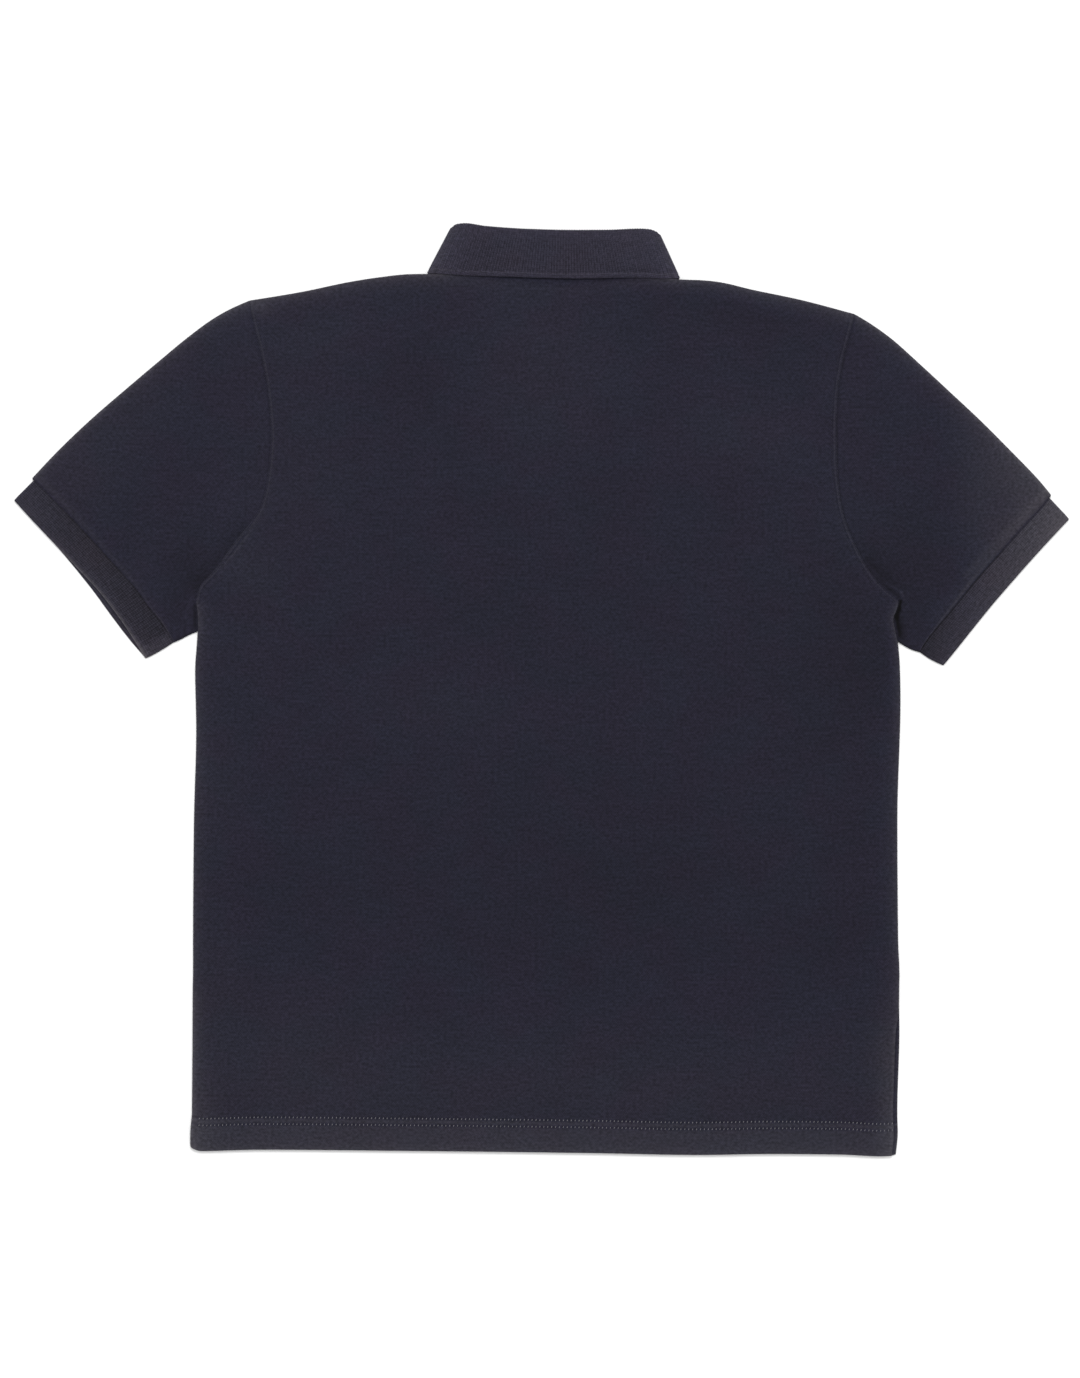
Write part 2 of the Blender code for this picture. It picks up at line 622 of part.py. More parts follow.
back(material("navy_pique_back", NAVY, 0.85))
front(material("navy_pique_front", NAVY, 0.85))
for wearer_side in ("left", "right"):
    sleeve_and_cuff(wearer_side, material(f"navy_pique_sleeve_{wearer_side}", NAVY, 0.85),
                    material(f"navy_rib_cuff_{wearer_side}", NAVY_RIB, 0.8))
collar(material("navy_rib_collar", NAVY_RIB, 0.8))
strip("placket_top", TOP_STRIP, material("navy_pique_placket_top", NAVY, 0.85))
strip("placket_under", UNDER_STRIP, material("navy_pique_placket_under", NAVY, 0.85))
for number, height in enumerate(BUTTON_HEIGHTS, 1):
    button(f"button_{number}", height, material(f"navy_button_{number}", NAVY_BUTTON, 0.4))
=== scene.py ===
"""Polo shirt laid flat with its back up: cotton pique body and sleeves, flat-knit collar and cuffs.

Every length is in millimetres until a mesh is made. +Y points to the collar and +Z up.
"""
import math

import bpy
import numpy as np
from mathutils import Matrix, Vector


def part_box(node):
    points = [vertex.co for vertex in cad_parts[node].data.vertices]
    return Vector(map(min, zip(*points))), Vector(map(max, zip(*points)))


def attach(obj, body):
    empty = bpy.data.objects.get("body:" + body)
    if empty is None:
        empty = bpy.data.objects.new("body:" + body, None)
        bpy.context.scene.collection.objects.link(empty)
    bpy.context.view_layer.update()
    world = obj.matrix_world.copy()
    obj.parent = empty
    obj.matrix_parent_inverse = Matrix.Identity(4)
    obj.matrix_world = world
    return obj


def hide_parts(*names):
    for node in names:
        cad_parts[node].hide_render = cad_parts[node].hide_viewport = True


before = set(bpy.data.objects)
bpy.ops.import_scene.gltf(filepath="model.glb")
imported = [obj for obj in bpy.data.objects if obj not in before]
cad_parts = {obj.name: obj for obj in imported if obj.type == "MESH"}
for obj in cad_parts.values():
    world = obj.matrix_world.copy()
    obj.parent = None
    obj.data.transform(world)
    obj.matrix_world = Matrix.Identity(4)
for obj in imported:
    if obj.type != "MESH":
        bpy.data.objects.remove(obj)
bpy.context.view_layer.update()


# ---------------------------------------------------------------- back
# The back is one panel of navy cotton pique. Its sides and shoulders roll over into the seams, its
# armhole edge stands up on the seam allowance, and its hem is turned up inside and sewn twice.

MM = 0.001
QUARTER = math.pi / 2
PIQUE = 1.2  # thickness of the cloth with the air in its knit
HEM_WALL = 2.0  # two layers at the hem
AIR = 0.6  # between the back and the front
SEAM_GAP = 0.3
ROLL = (PIQUE + AIR - SEAM_GAP) / 2  # radius of a rolled edge
NECK = {"x": 10.0, "half": 92.0, "drop": 70.0, "slot": 14.0, "slot_end": 118.0}
HEM = {"band": 22.0, "band_end": 26.0, "level": -366.0}
VENT = {"top": -242.0, "inset": 3.5, "start": -250.0, "fade": 30.0, "row": 7.0}
UNDERARM = 71.0
ARM_TOP = {"left": 311.2, "right": 300.4}
ROLLED_BELOW = 47.0
BAND = {"width": 4.6, "end": 7.0, "height": 0.34}  # armhole edge on its seam allowance
HEM_ROWS = (20.6, 25.6)  # the hem's two rows of stitches
ARM_ROWS = (1.8, 3.9)  # rows beside an armhole
SUNK = {"depth": 0.28, "width": 0.8}  # groove that a row of stitches pulls in
CALM = {"rise": 40.0, "crease": 14.0, "hem": -340.0, "hem_end": -310.0}  # where folds die out
STEEPEST = 1.3  # slope of a side edge past which its net isn't slanted more


def table(names, *rows):
    """Return the columns of a short table by name."""
    return dict(zip(names.split(), np.array(rows, float).T))


def crease_table(*rows):
    """Table of creases: the ends of each one's line, its width and its height, below 0 for a trough."""
    return table("x0 y0 x1 y1 width height", *rows)


LEFT_EDGE = table(
    "y x",
    (-369, -279.0), (-363, -280.7), (-354, -280.6), (-338, -279.4), (-250, -278.8), (-180, -278.6),
    (-104, -277.9), (-32, -276.1), (16, -277.0), (37, -275.6), (50, -274.9), (62, -275.2),
    (71, -276.0), (80, -274.2), (96, -260.9), (119, -244.4), (134, -232.2), (150, -223.0),
    (172, -218.6), (204, -216.1), (236, -218.3), (266, -223.4), (294, -230.2), (312, -233.6),
)
RIGHT_EDGE = table(
    "y x",
    (-372, 283.4), (-354, 285.0), (-338, 284.7), (-272, 286.4), (-242, 286.0), (-228, 286.6),
    (-200, 285.4), (-104, 284.8), (-8, 287.3), (16, 286.9), (38, 285.2), (47, 283.4),
    (56.5, 281.8), (65, 284.6), (71, 285.4), (76, 280.2), (81, 274.3), (95, 262.3),
    (118, 250.0), (130, 244.8), (152, 239.0), (184, 236.2), (208, 235.7), (232, 236.6),
    (260, 240.2), (276, 244.2), (301, 250.6),
)
HEM_LINE = table(
    "x y",
    (-281, -365.2), (-277, -367.6), (-272, -368.8), (-225, -367.7), (-113, -368.6), (39, -370.4),
    (127, -371.9), (183, -371.1), (239, -371.6), (271, -373.0), (280, -372.6), (286, -370.4),
)
TOP_LINE = table(
    "x y",
    (-233.6, 311.2), (-192.6, 318.0), (-152.6, 326.3), (-128.6, 330.0), (-104.6, 332.2),
    (-82, 332.4), (-60, 334.3), (10, 334.0), (80, 332.0), (102, 328.9), (112, 327.8),
    (127, 327.4), (143, 325.9), (167, 320.3), (207, 311.9), (250.6, 300.4),
)
# How far inside each armhole its painted highlight ridge and its painted shade groove run
ARM_LINES = {
    "left": table("y ridge groove", (84, 1.4, 3.4), (93, 1.7, 3.2), (100, 3.5, 2.0), (110, 5.0, 3.2),
                  (120, 5.0, 3.1), (131, 2.7, 1.2), (153, 2.0, 0.6), (182, 2.1, 0.2), (230, 1.3, -0.4)),
    "right": table("y ridge groove", (80, 2.0, 4.2), (100, 1.6, 4.0), (113, 1.6, 3.3), (130, 1.3, 2.8),
                   (152, 1.3, 2.8), (182, 1.8, 4.0), (225, 1.4, 3.1), (290, 1.4, 3.2)),
}
# Edge of the collar's fall, which lies on the back
BACK_FALL = ((-88.4, 331.2), (-79.8, 331.7), (-60.0, 330.5), (-32.6, 329.7), (25.8, 328.1),
             (75.4, 328.8), (95.4, 328.1), (107.7, 327.4))
# Where the collar leaves and the placket below lift the cloth
LIFT = {"height": 2.3, "end": 104.0, "skirt": 30.0}
RIDGE = {"height": 1.2, "half": 20.0, "top": 268.0, "end": 104.0, "skirt": 28.0}
LIFTED = table(
    "y half",
    (100, 24), (190, 24), (212, 48), (225, 56), (255, 76), (291, 98), (316, 110), (340, 113),
)
RISES = table(
    "x y along across turn height",
    (-150, 235, 70, 34, 25, 0.8), (135, 215, 80, 36, -18, 0.9), (-90, 60, 95, 40, 12, 0.8),
    (120, -20, 90, 38, -8, 0.7), (-60, -120, 100, 36, 4, 0.8), (150, -170, 70, 34, 14, 0.6),
    (-150, -230, 60, 30, -6, 0.7), (40, -270, 90, 28, 2, 0.6), (-330, 160, 46, 24, 48, 0.8),
    (335, 150, 48, 24, -46, 0.9), (-285, 110, 34, 18, 62, 0.9), (297, 92, 30, 16, -38, 1.3),
)
# Painted light and shade: paler and darker patches where the laid cloth's low rises and folds catch or lose
# the light
LIGHT_AND_SHADE_PATCHES = table(
    "x y along across turn height",
    (0, 256, 62, 78, 0, 0.13), (160, 204, 56, 34, 0, 0.10), (-78, -14, 74, 26, -4, 0.10),
    (-196, 160, 52, 44, 20, 0.08), (-40, 150, 60, 34, 6, -0.04), (80, 66, 56, 44, -20, -0.02),
    (-230, 40, 30, 60, 0, 0.05), (-102, 262, 46, 40, 0, -0.10), (62, 150, 40, 30, 0, -0.07),
    (44, -168, 84, 44, 6, -0.07), (110, -130, 60, 54, 0, -0.06), (-30, 60, 40, 26, 0, -0.06),
    (-150, -150, 70, 36, 12, -0.05), (210, 60, 44, 60, 0, -0.06), (150, -330, 160, 40, 0, 0.05),
    (-200, -300, 70, 70, 0, 0.14), (205, -10, 56, 60, 0, -0.07), (250, -300, 40, 60, 0, 0.05),
    (-20, -332, 320, 66, 0, 0.22), (277, -345, 9, 46, 0, 0.55), (275, -288, 12, 26, 0, 0.30),
    (-272, -348, 14, 36, 0, 0.36), (268, 18, 40, 44, 0, -0.16), (299, 110, 34, 30, 0, -0.12),
    (-290, 110, 30, 30, 0, -0.06), (-380, 168, 46, 34, 42, 0.20), (-226, 306, 10, 6, -15, 0.55),
    (247, 300, 7, 5, 15, 0.40), (-284, 94, 44, 12, 67, -0.12), (-286, 60, 14, 16, 0, -0.12),
    (-236, 98, 24, 30, 40, 0.16), (-172, 282, 84, 24, 8, 0.11), (-200, 225, 50, 50, 0, 0.06),
    (-322, 222, 50, 26, 42, 0.13), (-328, 92, 40, 14, 52, 0.08), (130, 312, 75, 18, -10, -0.14),
    (185, 286, 40, 20, -20, -0.08), (-255, -75, 20, 50, 0, 0.10), (-255, -225, 20, 46, 0, 0.10),
    (232, -190, 44, 60, 0, -0.09), (255, -60, 30, 80, 0, -0.05), (20, -130, 110, 150, 0, -0.04),
    (30, -345, 50, 24, 0, -0.06), (240, 72, 26, 30, 0, -0.09), (276, 44, 14, 26, 0, -0.12),
    (290, 132, 22, 26, 0, -0.08), (303, 62, 20, 22, 0, -0.10), (340, 78, 40, 28, 0, -0.10),
    (367, 150, 13, 12, 0, -0.22),
)
BACK_CREASES = crease_table(
    (-262, 82, -196, 26, 9.0, 0.45), (-250, 56, -168, 8, 12.0, -0.35), (-236, 112, -150, 88, 10.0, 0.30),
    (268, 78, 206, 20, 8.0, 0.50), (262, 48, 180, -12, 13.0, -0.35), (236, 122, 158, 104, 11.0, 0.30),
    (-200, 262, -136, 196, 12.0, -0.30), (210, 248, 150, 180, 13.0, -0.30), (-60, 300, 70, 308, 9.0, -0.35),
    (-236, -60, -140, -96, 16.0, 0.35), (92, -70, 226, -112, 18.0, 0.35), (-120, 20, 34, -14, 20.0, -0.30),
    (-30, -196, 130, -214, 18.0, 0.30), (-214, -200, -96, -176, 15.0, -0.28),
    (168, -258, 250, -282, 13.0, 0.28), (-190, -300, -70, -312, 14.0, 0.25),
)


def smooth(at, x, y):
    """Read a smooth curve through (x, y) that never swings past its points; x increases.

    Cubics join the points. The lean at a point is the harmonic mean of the slopes on its two sides,
    or none where they differ in sign.
    """
    at = np.asarray(at, float)
    step = np.diff(x)
    slope = np.diff(y) / step
    lean = np.zeros_like(y)
    before, after = slope[:-1], slope[1:]
    same_way = before * after > 0
    lean[1:-1][same_way] = (2 * before * after)[same_way] / (before + after)[same_way]
    lean[0], lean[-1] = slope[0], slope[-1]
    cell = np.clip(np.searchsorted(x, at) - 1, 0, len(step) - 1)
    t = np.clip((at - x[cell]) / step[cell], 0, 1)
    sway = step[cell] * t * (1 - t) * (lean[cell] * (1 - t) - lean[cell + 1] * t)
    return y[cell] + slope[cell] * step[cell] * t * t * (3 - 2 * t) + sway


def ramp(at, start, end):
    """Go from 0 at the start to 1 at the end, on either side of it: 3 t^2 - 2 t^3 of the way t."""
    t = np.clip((at - start) / (end - start), 0, 1)
    return t * t * (3 - 2 * t)


def bell(distance, width):
    """Bell of height 1: e to the minus square of the distance from its middle over its width."""
    return np.exp(-(distance / width) ** 2)


def read(line, at):
    """Read a table's second column as a smooth curve over its first."""
    return smooth(at, *list(line.values())[:2])


def over_hem(x, y):
    """Height over the hem's edge."""
    return y - read(HEM_LINE, x)


def pairs(x, y):
    """Plan points of two rows of numbers."""
    return np.stack([x, y], axis=-1)


def rounded(distance, half):
    """Share of a wall's half thickness near its edge: a quarter circle over the half thickness."""
    t = np.clip(distance / half, 0, 1)
    return np.maximum(np.sqrt(1 - (1 - t) ** 2), 0.1)


def off_line(x, y, ax, ay, bx, by):
    """Distance in plan from the nearest point of the straight line between two points."""
    dx, dy = bx - ax, by - ay
    t = np.clip(((x - ax) * dx + (y - ay) * dy) / (dx * dx + dy * dy), 0, 1)
    return np.hypot(x - ax - t * dx, y - ay - t * dy)


def off_curve(x, y, curve):
    """Distance in plan from a line through many points: the least over its stretches."""
    return np.minimum.reduce([off_line(x, y, *a, *b) for a, b in zip(curve[:-1], curve[1:])])


def creases(x, y, rows):
    """Height of a table of creases: each a bell across its line, rounded off at its ends."""
    return sum(height * bell(off_line(x, y, ax, ay, bx, by), width)
               for ax, ay, bx, by, width, height in zip(*rows.values()))


def bells(x, y, rows):
    """Sum of a table of broad bells, each on a turned ellipse."""
    total = np.zeros_like(x)
    for mid_x, mid_y, along, across, turn, height in zip(*rows.values()):
        c, s = math.cos(math.radians(turn)), math.sin(math.radians(turn))
        u = ((x - mid_x) * c + (y - mid_y) * s) / along
        v = ((y - mid_y) * c - (x - mid_x) * s) / across
        total += height * np.exp(-u * u - v * v)
    return total


def lift(x, y):
    """Height given by the collar leaves and placket: full inside their outline, a skirt round it."""
    beside = np.maximum(np.abs(x - NECK["x"]) - read(LIFTED, y), 0)
    below = np.maximum(LIFT["end"] - y, 0)
    return LIFT["height"] * ramp(np.hypot(beside, below), LIFT["skirt"], 0)


def ridge(x, y):
    """Height given by the strip behind the placket, which lies on the front."""
    beside = np.maximum(np.abs(x - NECK["x"]) - RIDGE["half"], 0)
    past = np.maximum(np.maximum(RIDGE["end"] - y, y - RIDGE["top"]), 0)
    return RIDGE["height"] * ramp(np.hypot(beside, past), RIDGE["skirt"], 0)


def side_x(side, y):
    """Outer edge of the body on one side at a height."""
    return read(LEFT_EDGE if side == "left" else RIGHT_EDGE, y)


def off_sides(x, y):
    """Distance in from the nearer side edge."""
    return np.minimum(x - side_x("left", y), side_x("right", y) - x)


def arm_line(side, low, high, count):
    """Points of an armhole between two heights."""
    y = np.linspace(low, high, count)
    return pairs(side_x(side, y), y)


ARMHOLES = {side: arm_line(side, UNDERARM, ARM_TOP[side], 90) for side in ("left", "right")}


def off_armhole(x, y):
    """Distance in plan from the nearer armhole's line."""
    return np.minimum(off_curve(x, y, ARMHOLES["left"]), off_curve(x, y, ARMHOLES["right"]))


def hem_wall(up):
    """Thickness of a body panel over its hem's edge: two layers, then one."""
    return PIQUE + (HEM_WALL - PIQUE) * ramp(up, HEM["band_end"], HEM["band"])


def cloth_at(x, y):
    """Thickness of a body panel at a place."""
    return hem_wall(over_hem(x, y))


def sunk(x, y):
    """Depth of the grooves that rows of stitches pull into the face."""
    up = over_hem(x, y)
    from_seam, from_side = off_armhole(x, y), off_sides(x, y)
    beside_arm = ramp(y, UNDERARM - 2, UNDERARM + 3)
    beside_vent = ramp(y, VENT["top"] + 8, VENT["top"] + 3) * ramp(up, 27, 30)
    rows = sum(bell(up - row, SUNK["width"]) for row in HEM_ROWS)
    rows += beside_arm * sum(bell(from_seam - row, SUNK["width"]) for row in ARM_ROWS)
    return SUNK["depth"] * (rows + beside_vent * bell(from_side - VENT["row"], SUNK["width"]))


def back_middle(x, y):
    """Middle of the back's cloth: resting on the front, with its lifts, rises, creases and edge."""
    inward = off_sides(x, y)
    soft = bells(x, y, RISES) * ramp(inward, 0, CALM["rise"])
    soft += creases(x, y, BACK_CREASES) * ramp(inward, 0, CALM["crease"])
    edge = BAND["height"] * ramp(off_armhole(x, y), BAND["end"], BAND["width"])
    return (1.5 * cloth_at(x, y) + AIR + lift(x, y) + ridge(x, y)
            + soft * ramp(y, CALM["hem"], CALM["hem_end"]) + edge * ramp(y, UNDERARM, UNDERARM + 10))


def bend(angle, h, turn):
    """Way along and height of a roll at a share of its turn, h off its middle of fixed length."""
    angle = np.maximum(angle, 0.001)
    radius = ROLL * QUARTER / angle
    return (radius + h) * np.sin(angle * turn), (radius + h) * np.cos(angle * turn) - radius


def vent_inset(y):
    """How far the back's right edge stands in from the front's beside the vent."""
    return VENT["inset"] * ramp(y, VENT["start"], VENT["start"] - VENT["fade"])


def side_angle(y):
    """Angle of the rolled side edge: none at the vent and the armhole."""
    return QUARTER * ramp(y, VENT["top"], VENT["top"] + VENT["fade"]) * ramp(y, UNDERARM, ROLLED_BELOW)


def front_neckline(x, gap=0.0):
    """Height of the front neckline: half an ellipse hung between the shoulders."""
    ends = [NECK["x"] - NECK["half"], NECK["x"] + NECK["half"]]
    low, high = read(TOP_LINE, ends)
    share = np.clip((x - NECK["x"]) / (NECK["half"] - gap), -1, 1)
    return (low + high) / 2 + (high - low) / 2 * share - (NECK["drop"] - gap) * np.sqrt(1 - share ** 2)


def panel_top(x, is_front):
    """Height of a body panel's upper edge."""
    line = read(TOP_LINE, x)
    return np.where(np.abs(x - NECK["x"]) < NECK["half"], front_neckline(x), line) if is_front else line


# Shares and distances that set the net of a body panel, close together at edges and seams
FROM_EDGE = np.array([16, 12.5, 10, 8.4, 7.7, 7.2, 6.8, 6.3, 5.6, 4.9, 4.5, 4.2, 3.9, 3.6, 3.3, 2.8,
                      2.4, 2.1, 1.8, 1.5, 1.2, 0.9, 0.6, 0.3, 0.0])
TURNS = np.array([0.2, 0.45, 0.65, 0.8, 0.92, 1.0])
HEM_UPS = np.array([0, 0.1, 0.35, 0.7, 1.1, 3, 7, 12, 16, 18.8, 19.4, 20.0, 20.6, 21.2, 21.8, 22.4,
                    23.1, 23.8, 24.4, 25.0, 25.6, 26.2, 26.8, 27.4, 29, 32.0])
BODY_UPS = np.concatenate([np.linspace(-331, -60, 30), np.linspace(-51, 30, 11),
                           np.linspace(34, 90, 29), np.linspace(94, NECK["slot_end"], 6)])
TOP_SHARES = np.concatenate([np.linspace(0, 0.97, 38)[1:], [0.98, 0.988, 0.994, 1.0]])


def half_row(edge, angle, slant, half_wall, h, neck_columns):
    """Distances from the neck's middle and heights off the cloth's middle along half a row."""
    start = edge - bend(angle, half_wall, 1.0)[0]
    flat = [neck_columns, NECK["half"] + (start - FROM_EDGE[0] * slant - NECK["half"])
            * np.linspace(0, 1, 17)[1:-1], start - FROM_EDGE * slant]
    flat = np.concatenate(flat)
    thin = rounded(ROLL * QUARTER * (1 - TURNS), half_wall)
    way, height = bend(angle, h * thin, TURNS)
    return np.concatenate([flat, start + way]), np.concatenate([np.full(len(flat), h), height])


def body_sheet(is_front, face, neck_columns):
    """Net of points on one face of a body panel, +1 outside and -1 inside.

    Rows run from the hem to the shoulders. Columns keep their places in the neck, spread evenly to
    the side band, follow the side edge there, and turn over with the rolled edge. The upper edge
    rolls over in the same way. The height is the panel's middle plus the way off it.
    """
    top_end = {"left": TOP_LINE["x"][0], "right": TOP_LINE["x"][-1]}
    halves = {}
    for side in ("left", "right"):
        hem = read(HEM_LINE, side_x(side, HEM["level"]))
        top = read(TOP_LINE, top_end[side]) - ROLL - PIQUE / 2
        y = np.concatenate([hem + HEM_UPS, BODY_UPS, NECK["slot_end"]
                            + (top - NECK["slot_end"]) * TOP_SHARES])
        x = side_x(side, y)
        slant = np.hypot(1, np.clip(np.gradient(x, y), -STEEPEST, STEEPEST))
        if side == "right" and not is_front:
            x = x - vent_inset(y)
        half = hem_wall(y - hem) / 2
        hem_round = rounded(y - hem, half)
        halves[side] = [half_row(abs(x[j] - NECK["x"]), side_angle(y[j]), slant[j], half[j],
                                 face * half[j] * hem_round[j], neck_columns) for j in range(len(y))]
    x, off = (np.array([np.concatenate([sign * left[k][::-1], right[k]])
                        for left, right in zip(halves["left"], halves["right"])])
              for k, sign in ((0, -1), (1, 1)))
    x = NECK["x"] + x
    top_x = np.clip(x[-1], top_end["left"], top_end["right"])
    top_angle = np.where(np.abs(top_x - NECK["x"]) < NECK["half"] + 0.1, 0.0, QUARTER)
    top = panel_top(top_x, is_front) - bend(top_angle, PIQUE / 2, 1.0)[0]
    y = np.concatenate([
        read(HEM_LINE, x[0]) + HEM_UPS[:, None],
        np.repeat(BODY_UPS[:, None], x.shape[1], axis=1),
        NECK["slot_end"] + (top - NECK["slot_end"]) * TOP_SHARES[:, None],
    ])
    level_x, level_y = (np.pad(part, ((0, len(TURNS)), (0, 0)), "edge") for part in (x, y))
    thin = rounded(ROLL * QUARTER * (1 - TURNS), PIQUE / 2)[:, None]
    way, height = bend(top_angle[None], face * PIQUE / 2 * thin, TURNS[:, None])
    y = np.vstack([y, y[-1] + way])
    off = np.vstack([off, height])
    groove = sunk(level_x, level_y) * (face > 0)
    if is_front:
        z = cloth_at(level_x, level_y) / 2 + lift(level_x, level_y) - off + groove
    else:
        z = back_middle(level_x, level_y) + off - groove
    return np.stack([level_x, y, z], axis=-1)


def put(name, data):
    """Make an object of some data and put it in the scene."""
    thing = bpy.data.objects.new(name, data)
    bpy.context.scene.collection.objects.link(thing)
    return thing


def new_piece(name, points, faces, finish):
    """Make one smooth mesh from points and faces, as a piece that rides on the part's one body."""
    mesh = bpy.data.meshes.new(name)
    mesh.from_pydata((points * MM).tolist(), [], faces)
    mesh.shade_smooth()
    mesh.materials.append(finish)
    piece = put(name, mesh)
    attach(piece, "root")
    return piece


def tube_quads(rows, columns):
    """Cells of a net that closes on itself sideways, counter-clockwise from each first point."""
    j, i = np.meshgrid(np.arange(rows - 1), np.arange(columns), indexing="ij")
    k = (i + 1) % columns
    return np.stack([j * columns + i, j * columns + k, (j + 1) * columns + k, (j + 1) * columns + i], -1)


def shell(name, outer, inner, finish, tone=None, keep=None, ring=False, cloth=None):
    """Closed wall between two nets of points, its rim joined round the cells that are kept.

    tone is a share of the cloth's colour at each point, which carries painted light and shade, and
    cloth gives the pattern's own plane, which is the plan where it isn't given.
    """
    rows, columns = outer.shape[:2]
    quads = tube_quads(rows, columns)
    if keep is not None:
        quads = quads[:, :-1][keep]
    elif not ring:
        quads = quads[:, :-1]
    quads = quads.reshape(-1, 4)
    edges = np.concatenate([quads[:, [a, (a + 1) % 4]] for a in range(4)])
    count = rows * columns
    key = edges.min(axis=1) * count + edges.max(axis=1)
    _, first, times = np.unique(key, return_index=True, return_counts=True)
    rim = edges[first[times == 1]]
    faces = np.concatenate([quads, quads[:, ::-1] + count,
                            np.stack([rim[:, 1], rim[:, 0], rim[:, 0] + count, rim[:, 1] + count], 1)])
    points = np.concatenate([outer.reshape(-1, 3), inner.reshape(-1, 3)])
    a, b, c, d = (points[faces[:, n]] for n in range(4))
    volume = np.einsum("ij,ij->", a, np.cross(b, c)) + np.einsum("ij,ij->", a, np.cross(c, d))
    if volume < 0:
        faces = faces[:, ::-1]
    piece = new_piece(name, points, faces.tolist(), finish)
    plane = outer[..., :2] if cloth is None else cloth
    plane = np.concatenate([plane.reshape(-1, 2)] * 2) * MM
    piece.data.uv_layers.new(name="cloth").data.foreach_set("uv", plane[faces.ravel()].ravel())
    shade = np.ones((rows, columns)) if tone is None else tone
    piece.data.attributes.new("tone", "FLOAT", "POINT").data.foreach_set("value", np.tile(shade.ravel(), 2))
    return piece


def feed(tree, node, inputs):
    """Set a node's plain inputs on their own sockets, and link the ones that other nodes give."""
    for name, value in inputs.items():
        if isinstance(value, bpy.types.NodeSocket):
            tree.links.new(value, node.inputs[name])
        else:
            node.inputs[name].default_value = value


def add_node(tree, kind, inputs, output, **settings):
    """Add a shader node with its settings and inputs, and return one of its outputs."""
    node = tree.nodes.new(f"ShaderNode{kind}")
    for name, value in settings.items():
        setattr(node, name, value)
    feed(tree, node, inputs)
    return node.outputs[output]


def new_finish(name, shader_inputs):
    """Make a material with plain values on its shader's own sockets, and return it with its nodes."""
    finish = bpy.data.materials.new(name)
    finish.use_nodes = True
    feed(finish.node_tree, finish.node_tree.nodes["Principled BSDF"], shader_inputs)
    return finish, finish.node_tree


NAP_AND_HIGHLIGHT_GREY = (0.0136, 0.0127, 0.0126)  # colour that nap and painted highlight add for each share of tone over 1


def cloth_finish(name, colors, cell, lean, depth, mottle, pits):
    """Cotton knit: a lattice of cells on the cloth's own plane, their pits darkened with painted shade.

    Two close dyes change over in broad clouds. Yarns vary over a few millimetres and from course to
    course. The tone of a point darkens the dye where it is under 1, mostly with painted shade, and
    greys it over 1 with nap and painted highlight. cell is the lattice's width and height in metres,
    lean turns it, depth is the bump's height and pits is how dark the painted shade in the pits is.
    """
    finish, tree = new_finish(name, {
        "Roughness": 0.92, "Specular IOR Level": 0.15, "Sheen Weight": 0.16, "Sheen Roughness": 0.4,
        "Sheen Tint": (0.80, 0.80, 0.90, 1.0),
    })
    plane = add_node(tree, "UVMap", {}, "UV", uv_map="cloth")

    def placed(width, height, turn=0.0):
        """The cloth's plane in cells of a size, turned."""
        return add_node(tree, "Mapping", {"Vector": plane, "Rotation": (0, 0, turn),
                                          "Scale": (1 / width, 1 / height, 1)}, "Vector")

    def noise(width, height, detail):
        """Soft noise over cells of the plane."""
        return add_node(tree, "TexNoise", {"Vector": placed(width, height), "Scale": 1.0,
                                           "Detail": detail}, "Fac")

    def mapped(source, low, high, to_low, to_high):
        """Carry a value from one range to another, held at its ends."""
        return add_node(tree, "MapRange", {"Value": source, "From Min": low, "From Max": high,
                                           "To Min": to_low, "To Max": to_high}, "Result")

    def combine(kind, total, *values):
        """Fold two values or more with one kind of sum."""
        for value in values:
            total = add_node(tree, "Math", {0: total, 1: value}, "Value", operation=kind)
        return total

    def tinted(color, amount):
        """A colour scaled by a value."""
        return add_node(tree, "VectorMath", {0: color, "Scale": amount}, "Vector", operation="SCALE")

    pit = add_node(tree, "TexVoronoi", {"Vector": placed(*cell, lean), "Scale": 1.0, "Randomness": 0.22},
                   "Distance", voronoi_dimensions="2D")
    fibre = noise(0.0004, 0.0004, 2.0)
    yarn = noise(0.0027, 0.0021, 1.5)
    course = noise(0.0200, 0.0034, 1.0)
    cloud = noise(0.0600, 0.0450, 3.0)
    tone = add_node(tree, "Attribute", {}, "Fac", attribute_name="tone")
    # Share of the dye: painted shade in the pits, the yarns' own changes, and the tone up to 1
    amount = combine("MULTIPLY", mapped(pit, 0.1, 0.7, 1 + 0.5 * pits, 1 - pits),
                     mapped(fibre, 0.3, 0.7, 0.90, 1.10),
                     mapped(yarn, 0.25, 0.75, 0.66, 1.34),
                     mapped(course, 0.25, 0.75, 0.90, 1.10),
                     mapped(cloud, 0.3, 0.7, 1 - mottle, 1 + mottle),
                     combine("MINIMUM", tone, 1.0))
    share = mapped(noise(0.0450, 0.0380, 3.0), 0.4, 0.6, 0.0, 1.0)
    dye = add_node(tree, "Mix", {0: share, 6: (*colors[0], 1.0), 7: (*colors[1], 1.0)}, 2, data_type="RGBA")
    # Tone over 1 adds a grey of nap and painted highlight
    nap = combine("MAXIMUM", combine("ADD", tone, -1.0), 0.0)
    grey = tinted(NAP_AND_HIGHLIGHT_GREY, combine("MULTIPLY", nap, mapped(yarn, 0.25, 0.75, 0.6, 1.4)))
    height = combine("ADD", combine("MULTIPLY", pit, -1.0), combine("MULTIPLY", fibre, 0.25),
                     combine("MULTIPLY", yarn, 0.6))
    feed(tree, tree.nodes["Principled BSDF"], {
        "Base Color": add_node(tree, "VectorMath", {0: tinted(dye, amount), 1: grey}, "Vector"),
        "Normal": add_node(tree, "Bump", {"Strength": 0.6, "Distance": depth, "Height": height}, "Normal"),
    })
    return finish


